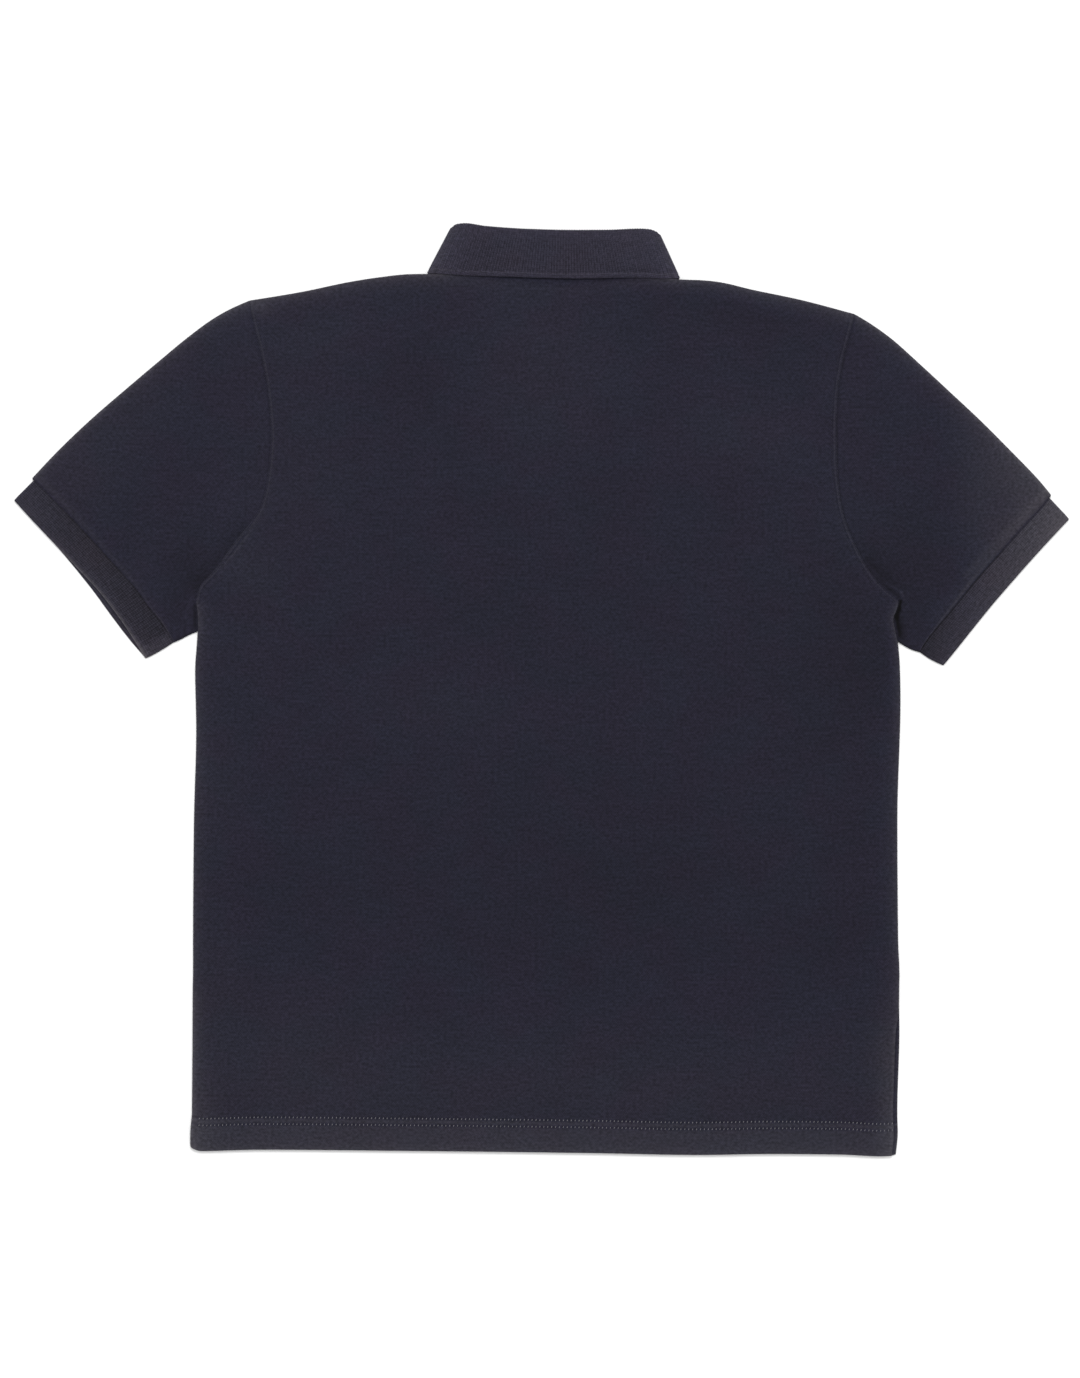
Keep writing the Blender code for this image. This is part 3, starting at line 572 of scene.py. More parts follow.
navy_pique = cloth_finish("navy_pique", ((0.0122, 0.0123, 0.0228), (0.0131, 0.0116, 0.0222)),
                          (0.0013, 0.0015), math.radians(45), 0.00022, 0.05, 0.36)
slot_half = NECK["slot"] / NECK["half"]
NECK_COLUMNS = NECK["half"] * np.sin(np.linspace(math.asin(slot_half), QUARTER, 20))
back_columns = np.concatenate([[4.0, 9.0], NECK_COLUMNS])
back_outer = body_sheet(False, 1, back_columns)
CLOTH_TONE = 0.98  # tone of plain cloth


def nap_and_rim_highlight(distance, rim, haze):
    """Nap and painted highlight beside an edge: a haze, a rim and a bright line at the very edge, all dying
    exponentially.
    """
    return rim * np.exp(-distance / 3.0) + haze * np.exp(-distance / 7.5) + 0.8 * np.exp(-distance / 0.7)


def neck_share(x):
    """Share that goes from 0 at the sides of the neck to 1 over 60 mm inwards."""
    return ramp(np.abs(x - NECK["x"]), NECK["half"], NECK["half"] - 60)


def hem_tone(up):
    """Tone over the hem's edge: nap on its band, nap and painted highlight at the fold, a paler line
    between its rows, and painted shade in the groove at each row.
    """
    tone = 0.52 * ramp(up, 28.6, 24.6) + 0.80 * np.exp(-up / 3.5) + 0.16 * bell(up - 23.8, 1.0)
    return tone - 0.72 * sum(bell(up - row, 1.2) for row in HEM_ROWS)


def arm_tone(x, y):
    """Painted light and shade beside the armholes: a paler haze on the raised band, one highlighted ridge
    or two, painted shade in a groove and a painted shadow along the seam's line.
    """
    from_seam, is_left = off_armhole(x, y), x < 0
    ridge_at, groove_at = (np.where(is_left, *(smooth(y, ARM_LINES[side]["y"], ARM_LINES[side][line])
                                               for side in ("left", "right")))
                           for line in ("ridge", "groove"))
    low_left = is_left * ramp(y, 150, 130)
    haze = 0.12 * bell(from_seam - 4, 4) * ramp(y, 190, 130)
    ridge_tone = (0.20 + 0.14 * ramp(y, 84, 110)) * bell(from_seam - ridge_at, 0.75)
    second = 0.19 * low_left * bell(from_seam - 1.6 * ramp(y, 134, 120), 0.75)
    groove = np.where(is_left, 0.24 * low_left, 0.20) * bell(from_seam - groove_at, 0.7)
    seam = np.where(is_left, 0.10 * (1 - low_left), 0.24) * bell(from_seam, 0.6)
    return (haze + ridge_tone + second - groove - seam) * ramp(y, UNDERARM - 6, UNDERARM + 4)


def vent_tone(y, left, right, is_front):
    """Tone below the vents' tops: nap and painted highlight at both edges, and painted shade on the front's
    strip past the back.
    """
    tone = 0.40 * np.exp(-left / 7) + 0.45 * np.exp(-left / 2.2)
    if is_front:
        # Painted shade on the front's strip that shows past the back
        tone -= 0.8 * ramp(right, 6, 3)
    else:
        inside = right - vent_inset(y)
        tone += 0.25 * np.exp(-inside / 6) + 0.50 * bell(inside - 1.2, 1.0) * ramp(y, -258, -278)
    return tone * ramp(y, VENT["top"] + 8, VENT["top"] - 2)


def panel_tone(points, is_front):
    """Tone of a body panel: painted light and shade patches, a painted shadow under the collar's fall,
    and nap with painted light and shade at the hem, the armholes, the vents and the rims.
    """
    x, y = points[..., 0], points[..., 1]
    left, right = np.maximum(x - side_x("left", y), 0), np.maximum(side_x("right", y) - x, 0)
    tone = CLOTH_TONE + bells(x, y, LIGHT_AND_SHADE_PATCHES) + nap_and_rim_highlight(np.maximum(read(TOP_LINE, x) - y, 0), 1.15, 0.66)
    tone += nap_and_rim_highlight(np.minimum(left, right), 0.80, 0.46) * ramp(y, UNDERARM + 4, UNDERARM - 6)
    # Painted shadow on the back just below the collar's fall edge, fading out towards the sides of the neck
    under_fall = smooth(x, *np.array(BACK_FALL).T) - y
    tone -= 0.80 * bell(under_fall, 2.3) * neck_share(x)
    return tone + hem_tone(over_hem(x, y)) + arm_tone(x, y) + vent_tone(y, left, right, is_front)


back = shell("back_panel", back_outer, body_sheet(False, -1, back_columns), navy_pique,
             tone=panel_tone(back_outer, False))
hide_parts("back")


# ---------------------------------------------------------------- front
# The front is cut like the back with a deep neckline and a slit for the placket. It lies on the
# ground under the back, lifted over the collar leaves and the placket.

front_outer = body_sheet(True, 1, NECK_COLUMNS)
keep = np.ones((front_outer.shape[0] - 1, front_outer.shape[1] - 1), bool)
keep[len(HEM_UPS) + len(BODY_UPS) - 1:, front_outer.shape[1] // 2 - 1] = False
front = shell("front_panel", front_outer, body_sheet(True, -1, NECK_COLUMNS), navy_pique,
              tone=panel_tone(front_outer, True), keep=keep)
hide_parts("front")


# ---------------------------------------------------------------- sleeves
# Each sleeve is one piece of pique folded along its top and sewn under the arm, so it lies as a
# flattened tube. It is sewn to the armhole, and sinks into a tuck beside the underarm.

OUTWARD = {"left": -1, "right": 1}
EDGE_INSET = (1.5 * PIQUE + AIR) / 2 + PIQUE / 4  # from a tube's outline in to the line it folds at
SLEEVES = {
    "left": {
        "seam_shadow": 0.32, "arm_seam_shadow": 0.15, "low_row": 48.2, "high_row": 309.8,
        "top": ((-234.4, 310.1), (-249.0, 303.7), (-263.4, 295.7), (-285.2, 279.7), (-304.5, 263.7),
                (-332.9, 239.7), (-360.6, 215.7), (-385.8, 191.7), (-407.4, 168.9)),
        "under": ((-274.0, 46.9), (-280.6, 44.2), (-288.6, 40.0), (-293.8, 37.7)),
        "seam": ((-407.4, 168.9), (-385.6, 147.2), (-362.2, 122.6), (-339.2, 97.3), (-324.8, 81.3),
                 (-310.5, 61.7), (-304.6, 54.9), (-293.8, 37.7)),
        "creases": crease_table(
            (-279.0, 76, -286.5, 49, 1.8, 0.45), (-277.5, 68, -276.0, 50, 2.0, -0.55),
            (-240, 126, -272, 84, 5.0, -0.35), (-262, 132, -318, 112, 8.0, 0.40),
            (-250, 176, -330, 176, 12.0, -0.25), (-262, 240, -330, 200, 14.0, 0.25),
        ),
        # Painted light and shade: darker lines where shade falls in the underarm tuck and beside the armhole,
        # paler lines on lips, ridges and the shoulder tip
        "light_and_shade": crease_table(
            (-276.8, 66, -276.6, 50, 2.2, -0.45), (-238, 124, -273, 84, 9.5, -0.34),
            (-279.5, 74, -285.0, 56, 1.8, 0.20), (-402, 165, -300, 50, 7.0, 0.16),
            (-237, 308, -252, 301, 6.0, 0.20),
        ),
    },
    "right": {
        "seam_shadow": 0.6, "arm_seam_shadow": 0.26, "low_row": 40.0, "high_row": 299.0,
        "top": ((250.8, 300.1), (263.4, 292.6), (281.4, 279.7), (299.4, 263.7), (325.4, 239.7),
                (351.1, 215.7), (375.1, 191.7), (398.2, 167.7), (407.8, 156.1)),
        "under": ((285.4, 39.7), (295.4, 32.8), (302.4, 29.9)),
        "seam": ((407.8, 155.5), (400.8, 146.4), (385.0, 129.3), (367.0, 109.0), (348.2, 88.0),
                 (331.0, 67.0), (313.1, 45.9), (305.0, 34.9), (302.4, 29.9)),
        "creases": crease_table(
            (274, 84, 282, 80.2, 1.7, 0.45), (282, 80.2, 288, 76, 1.7, 0.55), (288, 76, 290, 72, 1.9, 0.40),
            (286.8, 70, 285.6, 62, 1.6, -0.90), (285.0, 62, 283.6, 57, 2.0, -1.00),
            (284.4, 56, 287.0, 43, 2.2, -0.80), (262, 101, 280, 84, 4.5, -0.35),
            (243, 131, 276, 128, 4.0, 0.30), (262, 150, 330, 140, 13.0, -0.25),
            (262, 226, 335, 190, 14.0, 0.25),
        ),
        # Painted light and shade: darker lines where shade falls in the underarm tuck and beside the armhole,
        # paler lines on lips, ridges and the cuff seam
        "light_and_shade": crease_table(
            (287.2, 71, 286.2, 65, 1.2, -0.85), (285.8, 64, 283.8, 58.5, 1.8, -0.90),
            (283.8, 58, 286.4, 43, 1.8, -0.52), (286.5, 56, 289.5, 42, 3.2, -0.30),
            (262, 102, 279, 85, 5.0, -0.22), (256, 112, 284, 84, 16.0, -0.12),
            (276, 84.6, 288.0, 77.6, 1.0, 0.32), (288.0, 77.6, 290.3, 72, 1.1, 0.45),
            (270.5, 87.0, 278.0, 80.2, 1.1, -0.16), (278.0, 80.2, 286.0, 74.2, 1.1, -0.24),
            (407, 155, 318, 58, 9.0, 0.24), (403, 160, 340, 92, 3.0, 0.30), (253, 299, 268, 289, 6.0, 0.15),
        ),
    },
}


def lengths(points):
    """Length of the line through the points up to each of them."""
    return np.concatenate([[0.0], np.cumsum(np.linalg.norm(np.diff(points, axis=0), axis=1))])


def run(points, at, cut_start=0.0, cut_end=0.0):
    """Plan points at shares of a smooth curve that is shortened at its ends."""
    points = np.array(points, float)
    reach = lengths(points)
    way = cut_start + (reach[-1] - cut_start - cut_end) * np.asarray(at, float)
    return np.stack([smooth(way, reach, points[:, k]) for k in (0, 1)], axis=-1)


def unit(vectors):
    """Vectors scaled to length one."""
    return vectors / np.linalg.norm(vectors, axis=-1, keepdims=True)


def sideways(points, amount):
    """A plan curve moved to its left, or to its right by a negative amount."""
    way = unit(np.gradient(points, axis=0))
    return points + amount * np.stack([-way[:, 1], way[:, 0]], axis=-1)


def patch(start, end, top, under, along, at):
    """Plan patch between four curves: both ways of joining opposite curves, less the corners."""
    a, b = along[:, None, None], at[None, :, None]
    top, under = run(top, along)[:, None], run(under, along)[:, None]
    top = top + (1 - a) * (start[0] - top[0]) + a * (end[0] - top[-1])
    under = under + (1 - a) * (start[-1] - under[0]) + a * (end[-1] - under[-1])
    corners = (1 - b) * ((1 - a) * start[0] + a * end[0]) + b * ((1 - a) * start[-1] + a * end[-1])
    return (1 - a) * start + a * end + (1 - b) * top + b * under - corners


def fold_lines(cut, out):
    """The lines that a tube's upper layer turns over at: its top and its underside, moved in."""
    return [sideways(np.array(cut[edge]), way * EDGE_INSET) for edge, way in (("top", -out), ("under", out))]


FOLD_CELLS = 8


def flat_tube(upper, lower, thick, rise, h):
    """Rings round a flattened tube: upper layer, half circle, lower layer, half circle.

    rise lifts the upper layer, and h is the way off the cloth's middle at each row and station.
    """
    high, low = 1.5 * PIQUE + AIR + (PIQUE - thick) / 2, thick / 2
    middle, radius = (high + low) / 2, (high - low) / 2
    over = np.dstack([upper, high + rise + h])
    beneath = np.dstack([lower, low - h])[:, ::-1]
    turns = np.linspace(0, math.pi, FOLD_CELLS + 1)[1:-1]
    folds = []
    for edge, inside, order in ((-1, -2, turns), (0, 1, turns[::-1])):
        out = unit(upper[:, edge] - upper[:, inside])
        size = radius + h[:, edge]
        for turn in order:
            share = turn / math.pi
            plan = upper[:, edge] * (1 - share) + lower[:, edge] * share
            plan = plan + size[:, None] * math.sin(turn) * out
            folds.append(np.column_stack([plan, middle + size * math.cos(turn)]))
    folds = np.stack(folds, axis=1)
    half = FOLD_CELLS - 1
    return np.concatenate([over, folds[:, :half], beneath, folds[:, half:]], axis=1)


def round_tube(values, beneath=None):
    """Carry a value of the upper layer round the whole tube, with the lower layer's own if it's given."""
    half = FOLD_CELLS - 1
    beneath = values if beneath is None else beneath
    return np.concatenate([values, np.repeat(values[:, -1:], half, axis=1), beneath[:, ::-1],
                           np.repeat(values[:, :1], half, axis=1)], axis=1)


# Shares of the way down a sleeve, from its folded top to its underarm, and distances from its seams
SLEEVE_AT = np.concatenate([[0, 0.0015, 0.004, 0.008, 0.013, 0.02], np.linspace(0.03, 0.78, 56),
                            np.linspace(0.786, 1, 52)])
NEAR_SEAM = np.array([0, 0.08, 0.25, 0.5, 0.8, 1.2, 1.7, 2.3, 3.0, 3.8, 4.7, 5.7, 6.8, 8.0, 9.5, 11.0])
TUCKED = 0.5  # by which a sewn edge goes under the next piece
DARKEST = 0.04  # least tone where painted shade is deepest


def sleeve_plan(side):
    """Plan of a sleeve's upper layer and its rows' distances from the armhole and the cuff."""
    cut = SLEEVES[side]
    out = OUTWARD[side]
    edge = arm_line(side, cut["high_row"], cut["low_row"], 160)
    start = run(sideways(edge, -out * TUCKED), SLEEVE_AT)
    seam = run(cut["seam"], SLEEVE_AT, EDGE_INSET, EDGE_INSET)
    length = np.linalg.norm(seam - start, axis=1).mean()
    along = np.concatenate([NEAR_SEAM, np.linspace(13, length - 13, 30), length - NEAR_SEAM[::-1]])
    return patch(start, seam, *fold_lines(cut, out), along / length, SLEEVE_AT), along, length


SLEEVE_ROUND = 260.0  # mean way across a sleeve, for tones along it
# Extra painted highlight on the ridge beside each cuff seam, down the sleeve
CUFF_SEAM_HIGHLIGHT = {"left": 0.70 * ramp(SLEEVE_AT, 0.80, 0.92) - 0.08, "right": 0.45 * ramp(SLEEVE_AT, 0.35, 0.65)}
for side, flat_area in (("left", 0.0560), ("right", 0.0500)):
    cut = SLEEVES[side]
    plan, along, length = sleeve_plan(side)
    x, y = plan[..., 0], plan[..., 1]
    from_arm, from_cuff = along[:, None], length - along[:, None]
    from_end = np.minimum(from_arm, from_cuff)
    from_top, from_under = SLEEVE_AT * SLEEVE_ROUND, (1 - SLEEVE_AT) * SLEEVE_ROUND
    rise = bells(x, y, RISES) + creases(x, y, cut["creases"])
    rise = rise * np.sin(math.pi * SLEEVE_AT) ** 0.25 * ramp(from_end, 0.4, 3.4)
    rise += 0.16 * bell(from_cuff - 1.8, 0.9) - 0.22 * ramp(from_arm, 3.0, 0)
    thin = rounded(from_end, PIQUE / 2) + np.zeros_like(x)
    # Painted light and shade from the tables of lines and patches
    tone = CLOTH_TONE + creases(x, y, cut["light_and_shade"]) + bells(x, y, LIGHT_AND_SHADE_PATCHES)
    # Painted light: the right sleeve grows paler towards its outer end, where the light falls on it
    if side == "right":
        tone += 1.15 * ramp(x, 312, 410) * ramp(y, 50, 160)
    # Painted highlight beside the cuff seam, and nap with painted highlight along the top fold
    tone += (0.26 + CUFF_SEAM_HIGHLIGHT[side]) * bell(from_cuff - 2.4, 1.3) + nap_and_rim_highlight(from_top, 0.50, 0.50)
    # Nap with painted highlight near the underside fold, and painted shade at its very edge
    tone += 0.1 * np.exp(-from_under / 7.5) - 0.3 * np.exp(-from_under / 1.5)
    # Painted shadows in the seams at the cuff and at the armhole
    tone *= 1 - cut["seam_shadow"] * bell(from_cuff, 0.7)
    tone = np.maximum(tone * (1 - cut["arm_seam_shadow"] * bell(from_arm - 0.7, 0.7)), DARKEST)
    nets = [flat_tube(plan, plan, PIQUE, rise, face * thin * PIQUE / 2) for face in (1, -1)]
    piece = shell(f"sleeve_{side}_cloth", *nets, navy_pique, tone=round_tube(tone), ring=True)
    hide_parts(f"sleeve_{side}")


# ---------------------------------------------------------------- cuffs
# The cuffs are flat-knit rib bands, sewn to the sleeves' ends and as narrow as a finger. Their
# ribs run along the arm, and the left one's upper layer stands back from the lower.

CUFF_RIB = 1.4
RIB_PITCH = 2.4
RIB_HEIGHT = 0.30
CUFF_DEPTH = 24.0
CUFFS = {
    "left": {
        "top": ((-405.5, 167.3), (-421.8, 151.5)),
        "under": ((-294.8, 36.9), (-304.6, 31.1), (-315.2, 26.0)),
        "edge": ((-421.8, 151.5), (-407.4, 135.7), (-389.4, 116.5), (-373.1, 97.3),
                 (-357.8, 78.1), (-343.6, 58.6), (-328.6, 39.1), (-316.2, 24.8)),
        "steps": (2.1, 0.2), "lip": 4.3,
    },
    "right": {
        "top": ((405.8, 154.2), (422.2, 136.5)),
        "under": ((303.6, 29.5), (311.4, 24.5), (321.6, 20.0)),
        "edge": ((422.2, 136.5), (412.4, 126.1), (394.7, 106.9), (377.7, 87.7), (361.1, 68.5),
                 (345.5, 49.3), (330.2, 30.1), (321.2, 19.2)),
        "steps": (2.5, 0.2), "lip": 0.0,
    },
}
cuff_rib = cloth_finish("navy_cuff_rib", ((0.0236, 0.0222, 0.0336), (0.0248, 0.0218, 0.0324)),
                        (0.0014, 0.0017), 0.0, 0.00016, 0.04, 0.60)
CUFF_AT = np.linspace(0, 1, 401)
CUFF_ALONG = np.array([0, 0.01, 0.03, 0.07, 0.14, 0.28, 0.42, 0.56, 0.70, 0.82, 0.86, 0.90, 0.94,
                       0.97, 0.99, 1.0])
for side, cut_size in (("left", (0.350, 0.026)), ("right", (0.325, 0.024))):
    cut, out = CUFFS[side], OUTWARD[side]
    step_top, step_under = cut["steps"]
    begin = run(SLEEVES[side]["seam"], CUFF_AT, EDGE_INSET + step_top, EDGE_INSET + step_under)
    begin = sideways(begin, -out * TUCKED)
    low_end = run(cut["edge"], CUFF_AT, EDGE_INSET, EDGE_INSET)
    lip = cut["lip"] * np.sin(math.pi * np.clip((CUFF_AT - 0.25) / 0.75, 0, 1) ** 1.6)[:, None]
    high_end = low_end + lip * unit(begin - low_end)
    upper, lower = (patch(begin, end, *fold_lines(cut, out), CUFF_ALONG, CUFF_AT)
                    for end in (high_end, low_end))
    width = lengths(low_end)[-1]
    from_seam, from_edge = (CUFF_DEPTH * share[:, None] for share in (CUFF_ALONG, 1 - CUFF_ALONG))
    ribs = np.cos(2 * math.pi * CUFF_AT * round(width / RIB_PITCH))[None]
    welt = ramp(from_edge, 2.4, 3.9)
    thin = rounded(np.minimum(from_seam, from_edge), CUFF_RIB / 2)
    outer_h = thin * (CUFF_RIB / 2 - RIB_HEIGHT / 2 + RIB_HEIGHT / 2 * ribs * welt)
    flat = np.zeros_like(outer_h)
    # Painted shade in the ribs' hollows, stronger towards the underside
    rib_shade = (0.04 + 0.08 * ramp(CUFF_AT, 0.4, 0.7)) * (ribs - 1) * welt
    if side == "right":
        # Painted light: the right cuff grows paler towards its outer tip
        lit_tip = ((upper[..., 0] - 300) / 120).clip(0, 1)
        tone = 0.60 + 0.38 * CUFF_ALONG[:, None] + 1.80 * lit_tip ** 1.6 + 0.7 * lit_tip ** 9
        # Painted shade in the ribs' hollows, and nap with painted highlight at the edge
        tone += 0.4 * rib_shade + 0.3 * np.exp(-from_edge / 1.5)
    else:
        tone = 0.74 + 0.24 * CUFF_ALONG[:, None] + 0.2 * ramp(CUFF_AT, 0.3, 0) + rib_shade
        # Nap and painted highlight at the cuff's upper end and along its edge
        tone += 0.55 * ramp(CUFF_AT, 0.93, 0.98)
        tone += 4.6 * np.exp(-from_edge / 0.9) * ramp(CUFF_AT, 0.15, 0.45)
        tone += 0.8 * np.exp(-from_edge / 2.5) * ramp(CUFF_AT, 0.86, 0.96)
    # Painted shadow in the seam to the sleeve
    tone *= 1 - SLEEVES[side]["seam_shadow"] * bell(from_seam - 0.5, 0.8)
    # The lower layer: nap and painted highlight at its edge
    beneath = 0.90 + 1.1 * np.exp(-from_edge / 0.6) + flat
    nets = [flat_tube(upper, lower, CUFF_RIB, flat, h) for h in (outer_h, flat - thin * CUFF_RIB / 2)]
    cloth = np.dstack([round_tube(flat + CUFF_AT * width), round_tube(flat + from_seam)])
    piece = shell(f"cuff_{side}_rib", *nets, cuff_rib, tone=round_tube(tone, beneath), ring=True, cloth=cloth)
    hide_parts(f"cuff_{side}")


# ---------------------------------------------------------------- collar
# The collar is one flat-knit strip. It stands up from the neck seam, folds over and falls back
# outside, with its ribs across it and a plain welt along its edge.

COLLAR_RIB = 1.6
COLLAR = {"level": 3.65, "stand": 0.95, "fall": 2.85, "curl": 1.2}
BACK_FOLD = ((-69.9, 366.5), (-66.5, 370.0), (-61.5, 371.1), (-44.6, 368.8), (-8.6, 366.4),
             (27.4, 365.6), (51.4, 365.7), (79.4, 366.7), (85.5, 366.3), (90.0, 364.0),
             (92.2, 361.4))
LEAVES = {
    "left": {
        "fold": ((-69.9, 366.5), (-34.0, 316.0), (7.8, 272.0)),
        "edge": ((-88.4, 331.2), (-85.5, 316.0), (-73.0, 291.0), (-52.0, 255.0), (-31.0, 225.0)),
        "out": (-0.880, 0.475),
    },
    "right": {
        "fold": ((92.2, 361.4), (54.5, 314.0), (12.2, 272.0)),
        "edge": ((107.7, 327.4), (105.5, 313.0), (93.0, 289.0), (72.0, 254.0), (51.0, 224.0)),
        "out": (0.902, 0.431),
    },
}
STATION_STEP = 0.6
WELT = 4.0  # width of the plain edge
EASED = 0.32  # share of the turn at a corner that is eased into the stations beside it
EASE = 11.0  # over which it is eased
LEAF_GAP = 1.0  # from a leaf's front end to the neck's middle
FURTHEST = 0.97  # share of the way from an edge to the fold that no measured row passes
ON_BACK = 1.6  # turn up to which the fall lies on the back


def leaf_stations(side):
    """Neck, fold and edge points down one front leaf, from the side of the neck to its front end."""
    turn = np.linspace(QUARTER, math.asin(LEAF_GAP / NECK["half"]), 300)
    x = NECK["x"] + OUTWARD[side] * (NECK["half"] - SEAM_GAP) * np.sin(turn)
    seam = pairs(x, front_neckline(x, SEAM_GAP) + SEAM_GAP * np.sin(turn))
    at = np.linspace(0, 1, int(lengths(seam)[-1] / STATION_STEP))
    return [run(line, at) for line in (seam, LEAVES[side]["fold"], LEAVES[side]["edge"])]


def collar_stations():
    """Neck, fold and edge points, turn from +Z and way out at every station, left end to right."""
    parts = []
    across = np.linspace(0, 1, int(2 * NECK["half"] / STATION_STEP))[1:-1]
    x = NECK["x"] - NECK["half"] + 2 * NECK["half"] * across
    back_seam = pairs(x, panel_top(x, False) + SEAM_GAP)
    for side in ("left", "right"):
        out = LEAVES[side]["out"]
        front_part = leaf_stations(side)
        from_corner = lengths(front_part[0])[1:]
        turns = np.linspace(1 - EASED, EASED, 2 * int(math.pi * COLLAR["fall"] / STATION_STEP)) * math.pi
        corner = [np.repeat(part[:1], len(turns), axis=0) for part in front_part]
        corner += [turns, np.tile(out, (len(turns), 1))]
        leaf_part = [part[1:] for part in front_part]
        leaf_part += [math.pi * (1 - EASED * ramp(from_corner, EASE, 0)), np.tile(out, (len(from_corner), 1))]
        if side == "left":
            parts += [[part[::-1] for part in leaf_part], corner]
            from_corner = NECK["half"] - np.abs(x - NECK["x"])
            out = np.where((x < NECK["x"])[:, None], LEAVES["left"]["out"], LEAVES["right"]["out"])
            parts.append([back_seam, run(BACK_FOLD, across), run(BACK_FALL, across),
                          math.pi * EASED * ramp(from_corner, EASE, 0), out])
        else:
            parts += [[part[::-1] for part in corner], leaf_part]
    return [np.concatenate(part) for part in zip(*parts)]


neck, fold, edge, turn, out = collar_stations()
over = unit(unit(fold - neck) + unit(fold - edge))
radius = (COLLAR["fall"] - COLLAR["stand"]) / 2
stand_long = np.linalg.norm(fold - neck, axis=1)
fall_long = np.linalg.norm(fold - edge, axis=1)
# Way along the cloth at each station: the greatest of the fold's, the edge's and the turn's own steps
fold_steps, edge_steps = (np.linalg.norm(np.diff(line, axis=0), axis=1) for line in (fold, edge))
turn_steps = COLLAR["fall"] * np.abs(np.diff(turn))
way = np.concatenate([[0], np.cumsum(np.maximum(np.maximum(fold_steps, edge_steps), turn_steps))])
# Ways up the stand from the neck seam and down to the fall's edge that have a row of points each
STAND_UPS = np.array([0.0, 0.1, 0.35, 0.8, 3.0, 9.0, 16.0, 24.0])
FALL_DOWNS = np.array([27.0, 20.0, 14.0, 9.0, 6.4, 5.2, 4.6, 4.3, 4.0, 3.7, 3.4, 2.6, 1.5, 0.8, 0.35,
                       0.1, 0.0])
ribs = np.cos(2 * math.pi * way / RIB_PITCH)


def collar_sheet(face):
    """Net of points on one face: stand from the neck up, half circle over the fold, fall to the edge.

    Each row keeps its distance from the level between the neck's front and back, along a way that
    turns from +Z at the back through the side to -Z at the front.
    """
    half = COLLAR_RIB / 2
    sunk_rib = (face > 0) * RIB_HEIGHT / 2 * (1 - ribs)
    rows = []
    for share in [np.minimum(up / stand_long, FURTHEST) for up in STAND_UPS] + [np.ones_like(way)]:
        up = share * stand_long
        h = face * half * rounded(up, half) - sunk_rib * ramp(up, 0, 3)
        rows.append((neck + (fold - neck) * share[:, None], COLLAR["stand"] - h))
    for angle in np.linspace(0, math.pi, 9)[1:-1]:
        h = face * half - sunk_rib
        rows.append((fold + over * ((radius + h) * math.sin(angle))[:, None],
                     COLLAR["stand"] + radius - (radius + h) * math.cos(angle)))
    for left in [fall_long] + [np.minimum(down, FURTHEST * fall_long) if down > 7 else down + 0 * way
                               for down in FALL_DOWNS]:
        share = 1 - left / fall_long
        plain = ramp(left, WELT, WELT + 1.2)
        line = 0.14 * bell(left - WELT, 0.5) - 0.10 * bell(left - WELT + 1.1, 0.5)
        h = face * half * rounded(left, half) - sunk_rib * plain
        h = h + (face > 0) * (line - RIB_HEIGHT / 2 * (1 - plain))
        curl = COLLAR["curl"] * ramp(left, 14, 0) * np.maximum(np.cos(turn), 0) * neck_share(neck[:, 0])
        rows.append((fold + (edge - fold) * share[:, None], COLLAR["fall"] + curl + h))
    plan, off = (np.stack(part) for part in zip(*rows))
    x, y = (plan[..., k] + off * np.sin(turn) * out[:, k] for k in (0, 1))
    return np.stack([x, y, COLLAR["level"] + off * np.cos(turn)], axis=-1)


navy_rib = cloth_finish("navy_rib", ((0.0236, 0.0222, 0.0364), (0.0248, 0.0218, 0.0352)),
                        (0.0014, 0.0017), 0.0, 0.00016, 0.04, 0.60)
collar_outer = collar_sheet(1)
section = np.cumsum(np.concatenate([np.zeros((1, len(way))),
                                    np.linalg.norm(np.diff(collar_outer, axis=0), axis=2)]), axis=0)
from_fall, past_stand = section[-1] - section, section - stand_long
# Painted shade in the ribs' hollows, and a paler line along the welt
tone = 1.09 + 0.22 * (ribs - 1) * ramp(from_fall, WELT, WELT + 1.2)
tone += (0.50 + 0.35 * ribs) * bell(from_fall - WELT, 0.45)
# Painted highlight on the fold
tone += 0.30 * bell(past_stand, 5.0) + 2.00 * bell(past_stand - 2.5, 1.6)
tone += 0.14 * bell(neck[:, 0] - 76, 34) * ramp(from_fall, 7, 17) * (turn < ON_BACK)
corner = np.where(neck[:, 0] < NECK["x"], 0.42, 0.22)
tone += corner * bell(np.abs(neck[:, 0] - NECK["x"]) - NECK["half"], 14.0)
# Painted light where the collar turns round the sides of the neck, and painted shade near the fall's edge
tone += 0.7 * np.sin(turn) ** 2 - 0.28 * np.exp(-from_fall / 4.0)
collar = shell("collar_rib", collar_outer, collar_sheet(-1), navy_rib, tone=tone,
               cloth=np.dstack([np.repeat(way[None], len(section), axis=0), section]))
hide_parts("collar")


# ---------------------------------------------------------------- placket
# Two strips of pique close the slit: the outer one carries the buttonholes, and the one behind it
# carries the buttons.

PLACKET = {"long": 143.0, "face": 2.1}  # length of both strips, and height of the lower face
FROM_END = np.array([0, 0.1, 0.35, 0.7])  # rows and columns close to a strip's ends and sides


